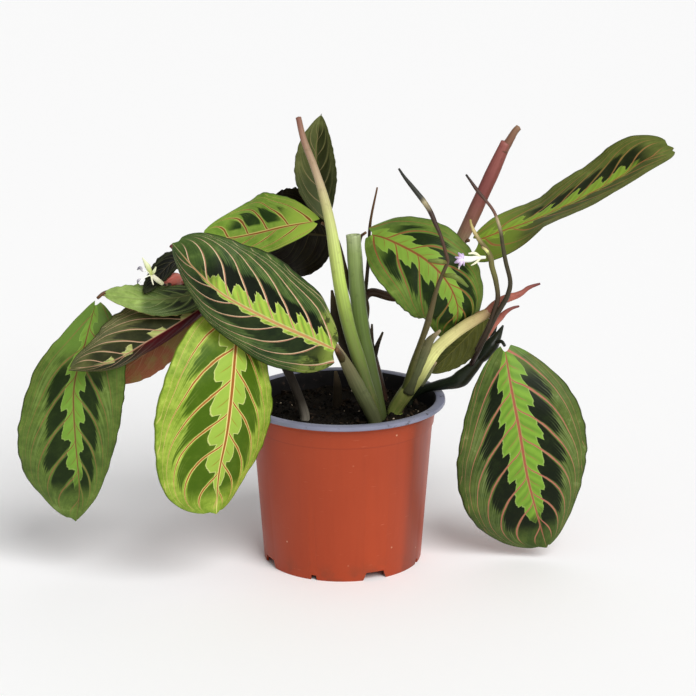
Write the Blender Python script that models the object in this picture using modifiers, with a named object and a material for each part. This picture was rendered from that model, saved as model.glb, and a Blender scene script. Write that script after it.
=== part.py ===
"""Potted prayer plant (maranta) in a nursery pot, for Blender 4.5.

The origin is the middle of the pot's floor, where it rests on the ground. +Z is up and -Y is the front.
Every number below is in millimetres, and MM turns it into metres.
"""

import math

import bmesh
import bpy
import numpy as np
from mathutils import Vector, noise

MM = 0.001
SEED = 7

# Pot
POT_STEPS = 44
POT_HEIGHT = 98.0
RIM_RADIUS = 60.0
BASE_RADIUS = 46.4
FLOOR_FOOT_RADIUS = 24.5
WIDE_NOTCH = {"first": -66.0, "width": 14.5, "top": 11.0, "height": 4.8}
NARROW_NOTCH = {"first": -21.0, "width": 3.8, "top": 3.0, "height": 3.0}

# Soil and stems
SOIL_TOP = 88.0
STEM_FOOT = 79.5
HOLE_CLEARANCE = 0.6

# Leaves
LEAF_THICKNESS = 0.8
LEAF_TIP = 2.5


def clear_scene():
    for thing in list(bpy.data.objects):
        bpy.data.objects.remove(thing, do_unlink=True)
    for group in list(bpy.data.collections):
        bpy.data.collections.remove(group)


clear_scene()
PARTS = bpy.data.collections.new("potted_prayer_plant")
CUTTERS = bpy.data.collections.new("cutters")
CUTTERS.hide_render = True
bpy.context.scene.collection.children.link(PARTS)
bpy.context.scene.collection.children.link(CUTTERS)


def paint(thing, colour, roughness):
    """Gives a node its own Principled material."""
    material = bpy.data.materials.new(thing.name + "_material")
    material.use_nodes = True
    shader = material.node_tree.nodes["Principled BSDF"]
    shader.inputs["Base Color"].default_value = (*colour, 1.0)
    shader.inputs["Roughness"].default_value = roughness
    material.diffuse_color = (*colour, 1.0)
    thing.data.materials.clear()
    thing.data.materials.append(material)


def keep(thing, name, colour, roughness=0.6):
    """Names a finished solid and puts it with the parts."""
    thing.name = name
    thing.data.name = name
    for group in list(thing.users_collection):
        group.objects.unlink(thing)
    PARTS.objects.link(thing)
    paint(thing, colour, roughness)
    return thing


def baked(thing):
    """Replaces an object by a plain mesh of what its modifiers or its curve make, facing out."""
    graph = bpy.context.evaluated_depsgraph_get()
    mesh = bpy.data.meshes.new_from_object(thing.evaluated_get(graph))
    mesh.transform(thing.matrix_world)
    build = bmesh.new()
    build.from_mesh(mesh)
    bmesh.ops.remove_doubles(build, verts=build.verts, dist=1e-6)
    bmesh.ops.recalc_face_normals(build, faces=build.faces)
    if build.calc_volume(signed=True) < 0:
        bmesh.ops.reverse_faces(build, faces=build.faces)
    build.to_mesh(mesh)
    build.free()
    name = thing.name
    bpy.data.objects.remove(thing, do_unlink=True)
    solid = bpy.data.objects.new(name, mesh)
    CUTTERS.objects.link(solid)
    solid.display_type = "WIRE"
    return solid


def combine(first, others, operation="UNION", solver="EXACT"):
    """Joins or cuts solids one after another and returns the result as a plain mesh."""
    for other in others:
        step = first.modifiers.new("combine", "BOOLEAN")
        step.operation = operation
        step.solver = solver
        step.object = other
        bpy.context.view_layer.update()
        first = baked(first)
        bpy.data.objects.remove(other, do_unlink=True)
    first.display_type = "TEXTURED"
    return first


def turned(name, profile, steps):
    """A solid of revolution about Z, from (radius, height) pairs that run from the top to the bottom."""
    mesh = bpy.data.meshes.new(name)
    points = [(radius * MM, 0.0, height * MM) for radius, height in profile]
    edges = [(index, index + 1) for index in range(len(points) - 1)]
    mesh.from_pydata(points, edges, [])
    thing = bpy.data.objects.new(name, mesh)
    CUTTERS.objects.link(thing)
    screw = thing.modifiers.new("turn", "SCREW")
    screw.angle = 2 * math.pi
    screw.steps = steps
    screw.render_steps = steps
    screw.use_merge_vertices = True
    screw.merge_threshold = 1e-5
    return baked(thing)


def smooth_path(points, stations):
    """A smooth curve through the points, read at stations from 0 to 1 along its length."""
    knots = np.asarray(points, float)
    knots = np.vstack([2 * knots[0] - knots[1], knots, 2 * knots[-1] - knots[-2]])
    t = np.linspace(0, 1, 24, endpoint=False)[:, None]
    runs = []
    for a, b, c, d in zip(knots, knots[1:], knots[2:], knots[3:]):
        cubic = 2 * b + (c - a) * t + (2 * a - 5 * b + 4 * c - d) * t**2 + (3 * b - a - 3 * c + d) * t**3
        runs.append(cubic / 2)
    curve = np.vstack([*runs, knots[-2][None]])
    steps = np.linalg.norm(np.diff(curve, axis=0), axis=1)
    length = np.concatenate([[0], np.cumsum(steps)])
    where = np.asarray(stations) * length[-1]
    found = np.stack([np.interp(where, length, curve[:, axis]) for axis in range(3)], axis=1)
    return found, length[-1]


def tube(points, radii, spacing=8.0):
    """A round stem through the points. Its radius runs evenly through the radii given."""
    length = smooth_path(points, [0, 1])[1]
    count = max(4, round(length / spacing))
    stations = np.linspace(0, 1, count + 1)
    path = smooth_path(points, stations)[0]
    sizes = np.interp(stations, np.linspace(0, 1, len(radii)), radii)
    curve = bpy.data.curves.new("stem", "CURVE")
    curve.dimensions = "3D"
    curve.bevel_depth = MM
    curve.bevel_resolution = 1 if max(radii) < 1.8 else 2
    curve.use_fill_caps = True
    spline = curve.splines.new("POLY")
    spline.points.add(count)
    for knot, place, size in zip(spline.points, path, sizes):
        knot.co = (*(place * MM), 1.0)
        knot.radius = size
    thing = bpy.data.objects.new("stem", curve)
    CUTTERS.objects.link(thing)
    bpy.context.view_layer.update()
    return baked(thing)


def rooted(foot, *rest):
    """A stem path that goes straight up out of its hole in the soil before it leans."""
    x, y = foot
    return [(x, y, STEM_FOOT), (x, y, SOIL_TOP - 2), (x, y, SOIL_TOP + 4), *rest]


def unit(vectors):
    return vectors / np.linalg.norm(vectors, axis=-1, keepdims=True)


def blade_grid(rib, face, half, fold, skew, blunt, lobes, wave, rows, columns):
    """Points of a leaf blade: rows along its midrib and columns on each side of it.

    rib   points along the midrib, from the base to the tip
    face  which way the upper side faces at the base and at the tip
    half  widths of the left and right halves
    fold  per half, how far it lifts from flat at the midrib and at the margin, in degrees
    skew  per half, under 1 puts the widest place nearer to the base
    blunt per half, smaller is fuller at both ends
    lobes per half, how far the ear beside the stalk reaches back
    wave  phases of the ripple along the two margins
    """
    stations = 0.004 + 0.496 * (1 - np.cos(np.pi * np.linspace(0, 1, rows + 1)))
    middle, _ = smooth_path(rib, np.concatenate([[0], stations, [1]]))
    ahead = unit(np.gradient(middle, axis=0))[1:-1]
    middle = middle[1:-1]
    ends = np.asarray(face, float)
    normal = ends[0] + (ends[1] - ends[0]) * stations[:, None]
    normal = unit(normal - (normal * ahead).sum(1, keepdims=True) * ahead)
    across = np.cross(ahead, normal)
    grid = np.zeros((rows + 1, 2 * columns + 1, 3))
    grid[:, columns] = middle + ahead * (LEAF_TIP * stations**40)[:, None]
    for side, sign in ((0, -1), (1, 1)):
        lift = np.atleast_2d(np.asarray(fold[side], float))
        place = np.linspace(0, 1, len(lift))
        at_rib = np.radians(np.interp(stations, place, lift[:, 0]))
        at_margin = np.radians(np.interp(stations, place, lift[:, 1]))
        width = half[side] * np.sin(np.pi * stations ** skew[side]) ** blunt[side]
        ripple = np.sin(2 * np.pi * (2.6 * stations + wave[side])) * np.sin(np.pi * stations) ** 0.5
        reach = np.zeros_like(middle)
        for column in range(1, columns + 1):
            angle = at_rib + (at_margin - at_rib) * (column - 0.5) / columns
            step = sign * across * np.cos(angle)[:, None] + normal * np.sin(angle)[:, None]
            reach = reach + step * (width / columns)[:, None]
            out = column / columns
            lobe = out**2 * (0.9 * stations**8 - lobes[side] * (1 - stations) ** 8)
            tip = LEAF_TIP * max(0.0, 1 - 2 * out) * stations**40
            rise = 0.035 * width * out**2 * ripple
            grid[:, columns + sign * column] = (
                middle + reach + ahead * (lobe + tip)[:, None] + normal * rise[:, None]
            )
    return grid


def leaf(
    name,
    colour,
    rib,
    face,
    half,
    fold,
    skew=(0.9, 0.9),
    blunt=(0.6, 0.6),
    lobes=(3, 3),
    rows=14,
    columns=4,
):
    """A leaf blade as one thin solid."""
    rng = np.random.default_rng(SEED + sum(map(ord, name)))
    wave = rng.random(2)
    grid = blade_grid(rib, face, half, fold, skew, blunt, lobes, wave, rows, columns)
    across = 2 * columns + 1
    faces = []
    for row in range(rows):
        for column in range(across - 1):
            a = row * across + column
            b = a + 1
            c = a + across + 1
            d = a + across
            if column < columns:
                faces += [(a, b, c), (a, c, d)]
            else:
                faces += [(a, b, d), (b, c, d)]
    mesh = bpy.data.meshes.new(name)
    mesh.from_pydata([tuple(point * MM) for point in grid.reshape(-1, 3)], [], faces)
    blade = bpy.data.objects.new(name, mesh)
    CUTTERS.objects.link(blade)
    thick = blade.modifiers.new("thickness", "SOLIDIFY")
    thick.thickness = LEAF_THICKNESS * MM
    thick.offset = 0.0
    bpy.context.view_layer.update()
    return keep(baked(blade), name, colour, 0.45)


# ---------------------------------------------------------------- pot

pot_profile = [
    (0.0, 1.4),
    (23.2, 1.4),
    (27.4, 6.4),
    (44.3, 6.6),
    (45.0, 7.6),
    (51.2, 81.9),
    (52.0, 84.2),
    (52.9, 92.0),
    (53.6, 95.6),
    (54.6, 97.4),
    (55.6, POT_HEIGHT),
    (58.9, POT_HEIGHT),
    (RIM_RADIUS - 0.2, 97.5),
    (RIM_RADIUS, 96.6),
    (RIM_RADIUS, 95.6),
    (59.4, 95.1),
    (58.4, 96.2),
    (56.0, 96.5),
    (55.2, 95.6),
    (54.6, 92.9),
    (54.5, 92.4),
    (54.5, 91.5),
    (54.2, 91.0),
    (53.3, 83.7),
    (52.5, 82.3),
    (BASE_RADIUS, 0.8),
    (BASE_RADIUS - 0.3, 0.0),
    (45.2, 0.0),
    (44.9, 5.2),
    (28.6, 5.0),
    (FLOOR_FOOT_RADIUS, 0.0),
    (0.0, 0.0),
]
pot = turned("pot", pot_profile, POT_STEPS)


def notch(angle, width, top, height):
    """A wedge that cuts one gap with sloped sides into the pot's foot."""
    near, far, below = 41.0, 50.0, -2.0
    spread = (width - top) / height
    low = width / 2 + spread * -below / 2
    high = top / 2
    corners = []
    for radius in (near, far):
        corners += [(radius, -low, below), (radius, low, below)]
        corners += [(radius, high, height), (radius, -high, height)]
    faces = [(3, 2, 1, 0), (4, 5, 6, 7), (0, 1, 5, 4), (1, 2, 6, 5), (2, 3, 7, 6), (3, 0, 4, 7)]
    mesh = bpy.data.meshes.new("notch")
    mesh.from_pydata([tuple(value * MM for value in corner) for corner in corners], [], faces)
    wedge = bpy.data.objects.new("notch", mesh)
    CUTTERS.objects.link(wedge)
    # Angles count from the front of the pot towards its right side.
    wedge.rotation_euler.z = math.radians(angle - 90)
    bpy.context.view_layer.update()
    return baked(wedge)


notches = []
for shape in (WIDE_NOTCH, NARROW_NOTCH):
    for quarter in range(4):
        notches.append(notch(shape["first"] + 90 * quarter, shape["width"], shape["top"], shape["height"]))
keep(combine(pot, notches, "DIFFERENCE"), "pot", (0.45, 0.10, 0.05), 0.5)

# ---------------------------------------------------------------- stems

left_stem = [
    # main stem, then the stalks of the far, near, lower, lime, pale and small left leaves
    tube(
        rooted((-22, -16), (-26, -18, 105), (-34, -22, 125), (-46, -27, 145), (-55, -31, 163)),
        [3.4, 3.4, 3.2, 2.9, 2.7, 2.4, 2.2],
    ),
    tube(
        [
            (-54, -30, 161), (-66, -24, 170), (-80, -22, 172), (-100, -24, 171), (-120, -28, 170),
            (-133, -32, 169), (-137.9, -34.4, 166),
        ],
        [2.0, 1.8, 1.7, 1.6, 1.4, 1.2, 0.9],
    ),
    tube([(-53, -30, 159), (-58, -32, 167), (-62, -33.4, 170)], [2.0, 1.8, 1.3]),
    tube([(-53, -29, 158), (-61, -27, 165), (-67, -26, 166.6), (-69.6, -26, 165.4)], [1.8, 1.4, 1.1, 0.8]),
    tube([(-48, -28, 148), (-51, -35, 160), (-55, -41, 164.6), (-56.6, -44.2, 163.4)], [1.8, 1.5, 1.2, 0.9]),
    tube([(-55, -31, 163), (-61, -37, 171), (-68, -39, 174.4), (-74.2, -38.6, 173.4)], [1.4, 1.2, 1.1, 0.9]),
    tube([(-78, -22, 171.5), (-81, -24, 178), (-84.4, -28.5, 185.4)], [1.3, 1.1, 0.8]),
    # broken stub
    tube([(-78, -22, 171), (-84, -21, 181), (-90, -21, 187), (-97, -22, 193.6)], [1.2, 1.2, 1.2, 1.1]),
    # pink bud and the thread that carries the flower
    tube(
        [(-90, -22.5, 172), (-93, -28, 174.6), (-95, -32.5, 176.4), (-97.2, -36, 176.8), (-100, -38, 175.6)],
        [1.0, 2.0, 4.2, 4.0, 0.9],
    ),
    tube([(-96, -36, 175), (-98, -41.5, 175.6), (-99.6, -44.2, 176.6)], [1.0, 0.8, 0.7]),
]

centre_stems = [
    # tall broken stem
    tube(
        rooted(
            (19, -18), (12, -20, 117), (4, -19, 143), (-1, -16, 166), (-4, -12, 185), (-7, -8, 203),
            (-11, -4, 219), (-16, 0, 234), (-22, 5, 249), (-25, 9, 261),
        ),
        [3.4, 3.4, 3.6, 3.8, 3.8, 3.8, 3.6, 3.2, 2.7, 2.2, 1.9, 1.6],
    ),
    # cut green stem and the sheath in front of it
    tube(
        rooted((21, -12), (16, -9, 116), (11, -6, 140), (8.5, -4, 163), (6.2, -2, 195)),
        [4.0, 4.4, 4.6, 4.5, 4.2],
    ),
    tube(rooted((18, -24), (8, -29, 114), (2, -32, 127), (-4, -35, 139)), [3.8, 4.0, 4.2, 4.2, 3.4, 2.0]),
    # dry sheath behind the tall stem
    tube([(8, -15, 122), (0, -10, 136), (-4, -9, 150), (-6, -9, 164)], [3.4, 3.6, 3.2, 0.8]),
    # stalks of the front, right, top, upper left and rear leaves
    tube([(0, -33, 130), (-2, -38, 135), (-3.4, -43.4, 138.6)], [2.4, 2.0, 1.2]),
    tube(
        [(12, -5, 140), (14, 3, 150), (11, 4, 164), (9.6, 6, 182), (10.4, 7.4, 191), (13.3, 3.4, 195)],
        [1.8, 1.8, 1.6, 1.4, 1.1, 0.8],
    ),
    tube(
        [(9, -4, 150), (5, 2, 160), (1, 2, 176), (-3, 9, 189), (-8.4, 18, 196.6)],
        [1.6, 1.5, 1.4, 1.2, 0.9],
    ),
    tube([(-6, -10, 197), (-9, -7.6, 201.6), (-11.8, -5.8, 202.8)], [1.4, 1.1, 0.9]),
    tube([(-3, -13, 181), (-6, 0, 185), (-6, 12, 187), (-5.4, 24.4, 187.5)], [1.5, 1.4, 1.3, 0.9]),
]

back_stem = [
    tube(
        rooted(
            (24, 20), (18, 20, 116), (12, 20, 143), (16, 20, 155), (34, 22, 152), (57, 22, 165),
            (70.8, 20, 191), (82.4, 18, 218), (93.8, 16, 245),
        ),
        [2.5, 2.5, 2.5, 2.5, 2.6, 2.6, 3.0, 4.0, 4.1, 3.8],
        6.0,
    ),
    tube([(92.8, 16, 241), (96.6, 16, 247), (99, 16, 252), (101, 16, 254)], [2.4, 2.0, 1.8, 1.6]),
    # stalk of the long right leaf
    tube([(69, 20, 186), (72, 18.2, 186.8), (73.6, 17.1, 187)], [1.8, 1.4, 0.9]),
    # broken stubs and a thin spike
    tube([(23.5, 20, 92), (17.5, 17, 113), (17, 14, 126), (17.2, 12, 138)], [2.3, 2.4, 1.8, 0.6]),
    tube([(17.5, 17, 111), (20, 15, 123), (23.6, 15, 132.4)], [2.0, 1.6, 0.6]),
    tube([(12.5, 20, 146), (15, 16, 175), (16, 12, 198), (20, 10, 220)], [1.3, 1.1, 0.9, 0.5]),
]

right_shoot = [
    tube(
        rooted((31, -4), (43, -10, 112), (54, -13, 130), (68, -15, 143), (84, -16, 153)),
        [4.2, 4.4, 4.4, 4.0, 3.5, 3.3, 2.8],
    ),
    tube(
        [
            (82, -16, 152), (88, -16, 157.6), (93.7, -16, 161), (99.4, -16, 162.8), (103.2, -15.5, 164.8),
            (105.4, -15, 166.6), (108.9, -14.5, 168.1), (112.8, -14, 169.2),
        ],
        [2.4, 2.6, 2.6, 2.5, 2.0, 1.4, 1.1, 0.6],
    ),
    # sheaths
    tube([(38, -9, 103), (44, -14, 122), (50, -17, 136), (56, -19, 143)], [3.6, 3.8, 3.4, 0.7]),
    tube([(44, -8, 108), (50, -8, 116), (54, -8, 121)], [3.4, 2.8, 0.8]),
    tube([(74, -15, 147), (78, -14, 151), (81, -13, 153)], [2.2, 2.0, 0.8]),
    # flower stalk
    tube(
        [
            (36, -8, 103), (42, -20, 128), (48, -32, 150), (52.8, -39, 172), (56.7, -41, 183.5),
            (58.7, -42, 189.3), (57.5, -41, 194.5), (54.9, -39, 203), (51.9, -37, 209.8),
            (48.9, -35, 216.4), (45.4, -33, 221.5), (43.1, -32, 224.3), (38.9, -29.5, 229.1),
            (34.7, -27, 234), (31.6, -24, 238.2),
        ],
        [2.4, 2.2, 2.0, 1.7, 1.7, 2.0, 1.5, 1.2, 1.1, 1.0, 1.0, 1.4, 1.6, 1.2, 0.6],
    ),
    # green bracts beside its joint
    tube([(58.5, -42, 188.6), (53.1, -43.4, 189.9), (47.8, -43.4, 190.1)], [1.0, 1.5, 0.7]),
    tube(
        [(56.4, -41, 181), (61.4, -43.4, 181.4), (65.5, -43.6, 179.2), (70.3, -42, 174.7)],
        [1.0, 1.6, 1.5, 0.6],
    ),
]

hanging_stem = [
    tube(
        rooted(
            (40, 16), (47, 13, 98), (56, 8, 102), (67, 4, 106), (75, 3, 113.4), (82, 4, 121.4),
            (88, 4, 128), (92, 0, 131), (93.8, -4.2, 129.6),
        ),
        [2.4, 2.6, 2.7, 2.7, 3.4, 5.0, 3.6, 2.0, 1.3, 0.9],
        6.0,
    ),
    tube([(79, 4, 118), (85, 5, 126), (91, 6, 135)], [2.4, 1.9, 0.5]),
    tube(
        [
            (75, 1, 117), (79, -11, 130), (86.6, -22, 150.6), (90.8, -22.5, 158.6), (93.7, -23, 164.6),
            (95.1, -23, 172.7), (92.5, -22, 183.6), (90.6, -21, 193.2), (89.3, -20, 201.5),
            (86.9, -18.5, 209.1), (84.5, -17.5, 213.8), (79.7, -16.5, 219.7), (76.1, -15.5, 223.9),
            (69.7, -14, 232.7),
        ],
        [1.6, 1.5, 1.4, 1.4, 1.3, 1.5, 1.4, 1.3, 1.2, 1.1, 0.9, 0.9, 1.1, 0.6],
    ),
    tube(
        [
            (77, -11, 129), (83, -20, 145), (86.5, -22.5, 156), (88.2, -23, 163.9), (86.8, -23, 173.7),
            (84.6, -23, 181.5), (83.8, -23, 186.3), (81.6, -22.5, 191.1), (77.4, -22, 196.5),
            (74.5, -21, 201.2), (72.7, -20, 205.2), (72.2, -19.5, 208),
        ],
        [1.0, 1.2, 1.3, 1.3, 1.4, 1.4, 1.5, 1.6, 1.7, 1.4, 1.1, 0.6],
    ),
    tube(
        [
            (80, -13, 134), (86, -16, 145), (90.1, -16, 149.6), (93.2, -16, 152.9), (97, -15.5, 155.2),
            (101, -15, 156.2),
        ],
        [1.4, 2.2, 2.2, 1.9, 1.1, 0.6],
    ),
    tube([(83.4, -23, 187), (81.4, -24, 191), (78.6, -24.4, 193.4)], [1.1, 1.0, 0.6]),
    tube(
        [(80, 5, 120), (88, 9, 133), (89.5, 12, 142), (88, 12.2, 148), (85.4, 12.1, 147)],
        [1.6, 1.3, 1.1, 1.0, 0.8],
    ),
]

sheath_stub = [tube(rooted((-3, 12), (-3, 11, 101), (-4, 10, 110)), [3.0, 3.0, 2.8, 2.4, 0.9])]

groups = [
    ("left_stem", left_stem, (0.14, 0.10, 0.07)),
    ("centre_stems", centre_stems, (0.25, 0.30, 0.10)),
    ("back_stem", back_stem, (0.30, 0.16, 0.11)),
    ("right_shoot", right_shoot, (0.42, 0.40, 0.16)),
    ("hanging_stem", hanging_stem, (0.10, 0.12, 0.06)),
    ("sheath_stub", sheath_stub, (0.20, 0.12, 0.08)),
]
for name, pieces, colour in groups:
    keep(combine(pieces[0], pieces[1:]), name, colour)

# ---------------------------------------------------------------- soil

soil_profile = [
    (0.0, SOIL_TOP),
    (7.0, SOIL_TOP),
    (14.0, SOIL_TOP),
    (21.0, SOIL_TOP),
    (28.0, SOIL_TOP),
    (35.0, SOIL_TOP),
    (42.0, SOIL_TOP),
    (48.0, SOIL_TOP - 0.4),
    (51.5, SOIL_TOP - 2.0),
    (50.7, 81.6),
    (44.7, 8.1),
    (43.9, 7.0),
    (27.1, 6.9),
    (22.8, 1.8),
    (0.0, 1.8),
]
stem_holes = [
    ((-22, -16), 3.4),
    ((19, -18), 3.8),
    ((21, -12), 4.5),
    ((18, -24), 4.2),
    ((24, 20), 2.6),
    ((31, -4), 4.8),
    ((40, 16), 2.8),
    ((-3, 12), 3.0),
]
soil = turned("soil", soil_profile, POT_STEPS)
for vertex in soil.data.vertices:
    if vertex.co.z < (SOIL_TOP - 1) * MM:
        continue
    lump = noise.noise(vertex.co * 95 + Vector((SEED, 0, 0))) + 0.6 * noise.noise(vertex.co * 210)
    vertex.co.z += 1.5 * MM * lump
holes = []
for index, (place, radius) in enumerate(stem_holes):
    # Each hole ends a little lower than the one before, so that no two floors share a plane.
    floor = STEM_FOOT - 0.5 - 0.13 * index
    bpy.ops.mesh.primitive_cylinder_add(
        vertices=12,
        radius=(radius + HOLE_CLEARANCE) / math.cos(math.pi / 12) * MM,
        depth=20 * MM,
        location=(place[0] * MM, place[1] * MM, (floor + 10) * MM),
    )
    bpy.context.view_layer.update()
    holes.append(baked(bpy.context.object))
keep(combine(soil, holes, "DIFFERENCE", "MANIFOLD"), "soil", (0.03, 0.022, 0.018), 0.95)

# ---------------------------------------------------------------- leaves

DARK = (0.06, 0.14, 0.04)
MID = (0.10, 0.22, 0.05)
BRIGHT = (0.20, 0.38, 0.06)
UNDER = (0.16, 0.05, 0.05)

leaf(
    "leaf_far_left", MID,
    rib=[
        (-139, -36, 163), (-145, -44, 141), (-151, -49, 118),
        (-151, -50, 89), (-150, -46, 57), (-153, -40, 36),
    ],
    face=[(-0.1, -0.95, 0.3), (-0.15, -1, 0)], half=(28.5, 34.5), fold=((-8, -20), (5, -10)),
    skew=(0.7, 1.7), blunt=(0.85, 0.46), lobes=(4, 4),
)
leaf(
    "leaf_left_front", MID,
    rib=[(-64, -34, 171), (-85, -46, 159), (-107, -58, 148), (-128, -66, 138), (-150, -68, 134)],
    face=[(0, -0.8, 0.6), (-0.1, -0.8, 0.6)], half=(18, 25), fold=((-80, -110), (-10, 10)), skew=(1.0, 1.1),
)
leaf(
    "leaf_left_lower", UNDER,
    rib=[(-72, -26, 163), (-95, -26, 144), (-115, -26, 129), (-132, -25, 115)],
    face=[(0, 0.8, -0.3), (0, 0.8, -0.3)], half=(16, 13), fold=((0, -12), (0, -12)), skew=(1.0, 1.5),
    lobes=(1, 1), rows=12, columns=3,
)
leaf(
    "leaf_lime", BRIGHT,
    rib=[(-57, -46, 161), (-59, -58, 145), (-61, -68, 122), (-64, -71, 98), (-69, -69, 73), (-71, -63, 49)],
    face=[(0.35, -0.85, 0.35), (0.35, -0.9, 0.05)], half=(32.4, 42.4), fold=((-16, -34), (5, -8)),
    skew=(1.05, 1.08), blunt=(0.47, 0.4),
)
leaf(
    "leaf_front", DARK,
    rib=[
        (-4, -45, 139), (-18, -57, 149), (-40, -70, 163),
        (-64, -78, 179), (-78, -75.5, 191), (-92, -65.8, 204.4),
    ],
    face=[(-0.1, -0.8, 0.55), (-0.2, -0.8, 0.5)], half=(26, 33.5), fold=((-35, -60), (6, -4)),
    skew=(0.6, 0.97), blunt=(0.5, 0.38), lobes=(11, 3),
)
leaf(
    "leaf_upper_left", BRIGHT,
    rib=[(-16, -3, 203), (-34, 4, 198), (-51, 12, 192), (-68, 22, 187), (-82, 30, 187)],
    face=[(0, -0.6, 0.8), (0, -0.6, 0.8)], half=(15, 31), fold=((0, -20), (0, 5)), skew=(0.9, 1.3),
    blunt=(0.5, 0.54), lobes=(4, 6), rows=12,
)
leaf(
    "leaf_top", DARK,
    rib=[(-10, 20.5, 200), (-14, 25, 218), (-15.2, 29, 238), (-12.5, 34.5, 256.5)],
    face=[(0.1, -1, 0), (0.1, -1, 0)], half=(15.2, 16.6), fold=((15, 40), (30, 70)), skew=(0.9, 0.85),
    blunt=(0.75, 0.75), rows=12,
)
leaf(
    "leaf_rear", UNDER,
    rib=[(-7, 26, 187.5), (-22, 34, 187.5), (-37, 41, 188.5), (-51, 48, 190.5)],
    face=[(0, 0.95, 0.2), (0, 0.95, 0.2)], half=(27, 32), fold=((0, 15), (0, 15)), skew=(0.9, 1.15),
    blunt=(0.55, 0.5), rows=12,
)
leaf(
    "leaf_right", BRIGHT,
    rib=[(16.4, 0.4, 194.5), (27, -9, 193.5), (47, -20, 185), (60, -25, 172), (66, -18, 154), (62, -5, 134)],
    face=[(0.05, -0.8, 0.6), (0.3, -0.95, -0.2)], half=(24.5, 29.5), fold=((0, -25), (0, -12)),
    skew=(0.7, 0.88), blunt=(0.62, 0.56), lobes=(9, 4),
)
leaf(
    "leaf_long_right", MID,
    rib=[(78, 13.6, 188), (91, 10, 194), (117, 6, 205), (152, 4, 223.5), (173, 6, 237), (188, 10, 242.5)],
    face=[(-0.35, -0.35, 0.85), (-0.45, -0.25, 0.85)], half=(27, 19),
    fold=(((8, 16), (-9, -1), (4, 14), (14, 28)), ((-44, -34), (11, 16), (8, 12), (-14, -10))),
    skew=(1.5, 0.6), blunt=(0.3, 0.33), lobes=(5, 11),
)
leaf(
    "leaf_hanging_right", MID,
    rib=[(94, -6, 127), (97, -15, 109), (102, -21, 84), (107, -23, 57), (113, -19, 34), (120, -11, 9)],
    face=[(0, -0.8, 0.5), (0.05, -1, -0.1)], half=(39.8, 41.2), fold=((-5, -18), (-5, -18)),
    skew=(0.84, 1.5), blunt=(0.63, 0.39), lobes=(6, 6),
)
leaf(
    "leaf_small_right", UNDER,
    rib=[(83, 12, 143), (72, 11, 130), (52, 9, 110)],
    face=[(0, 0.8, -0.3), (0, 0.8, -0.3)], half=(11, 11), fold=((0, -10), (0, -10)), rows=9, columns=3,
)
leaf(
    "leaf_pale_left", MID,
    rib=[(-77, -38, 172), (-90, -42, 169), (-107, -48, 169), (-131, -53, 172.4)],
    face=[(0, -0.8, 0.6), (0, -0.6, 0.8)], half=(11.5, 6), fold=((0, 0), (0, 0)), skew=(0.65, 0.9),
    blunt=(0.6, 0.4), rows=9, columns=3,
)
leaf(
    "leaf_small_left", DARK,
    rib=[(-86, -30, 188), (-95, -34, 187), (-102, -39, 181), (-109.4, -48.6, 173.6)],
    face=[(0, -0.8, 0.6), (-0.4, -0.8, 0.3)], half=(5, 8), fold=((0, -30), (0, -20)), skew=(0.8, 0.8),
    blunt=(0.5, 0.5), rows=9, columns=3,
)

# ---------------------------------------------------------------- flowers


def flower(name, throat, petals, colour):
    """A slender tube with narrow petals spread from its mouth, as one solid."""
    mouth = throat[-1]
    place = [value * MM for value in mouth]
    bpy.ops.mesh.primitive_ico_sphere_add(subdivisions=2, radius=1.9 * MM, location=place)
    bpy.context.view_layer.update()
    pieces = [baked(bpy.context.object), tube(throat, [1.2, 1.5, 1.2], 4.0)]
    for tip in petals:
        start = [a + 0.12 * (b - a) for a, b in zip(mouth, tip)]
        middle = [(a + b) / 2 for a, b in zip(mouth, tip)]
        middle[1] -= 1.0
        pieces.append(tube([start, middle, tip], [0.7, 1.3, 0.5], 3.0))
    return keep(combine(pieces[0], pieces[1:]), name, colour)


flower(
    "flower_left", [(-100.2, -45.4, 177.4), (-103.5, -48.5, 181), (-106, -50, 183.8)],
    [(-110.6, -52, 194), (-103, -53, 189), (-112.6, -52, 187.4), (-112.4, -53, 180.4), (-104.6, -54, 179)],
    (0.75, 0.70, 0.72),
)
flower(
    "flower_right", [(80.8, -25.4, 187.6), (75, -25.6, 186.9), (68, -27, 186.9)],
    [(63.8, -28, 191.6), (62.4, -29, 186.6), (64.2, -29, 182.6), (67.4, -29, 181.8), (67, -28, 191.6)],
    (0.72, 0.55, 0.75),
)
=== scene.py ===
"""Looks of the potted prayer plant (maranta), for Blender 4.5.

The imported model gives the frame: the origin is the middle of the pot's floor, +Z is up and -Y is the front.
Routes and leaf shapes repeat the source's numbers, in millimetres, and MM turns them into metres.
"""

import math
from types import SimpleNamespace

import bmesh
import bpy
import numpy as np
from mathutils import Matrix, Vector, noise


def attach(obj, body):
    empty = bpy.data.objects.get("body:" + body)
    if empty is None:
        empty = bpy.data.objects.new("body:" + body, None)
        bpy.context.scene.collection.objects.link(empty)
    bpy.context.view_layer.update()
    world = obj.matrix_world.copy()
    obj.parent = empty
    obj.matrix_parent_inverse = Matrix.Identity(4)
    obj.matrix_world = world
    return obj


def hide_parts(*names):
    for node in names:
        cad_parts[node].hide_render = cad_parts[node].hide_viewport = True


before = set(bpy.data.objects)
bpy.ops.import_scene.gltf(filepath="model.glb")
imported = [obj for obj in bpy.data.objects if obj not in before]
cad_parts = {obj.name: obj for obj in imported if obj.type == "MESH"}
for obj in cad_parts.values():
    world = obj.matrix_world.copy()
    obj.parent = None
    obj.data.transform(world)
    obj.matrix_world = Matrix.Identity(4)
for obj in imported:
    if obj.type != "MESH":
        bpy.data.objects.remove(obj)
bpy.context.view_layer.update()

MM = 0.001
SEED = 7

# ---------------------------------------------------------------- node helpers


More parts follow.
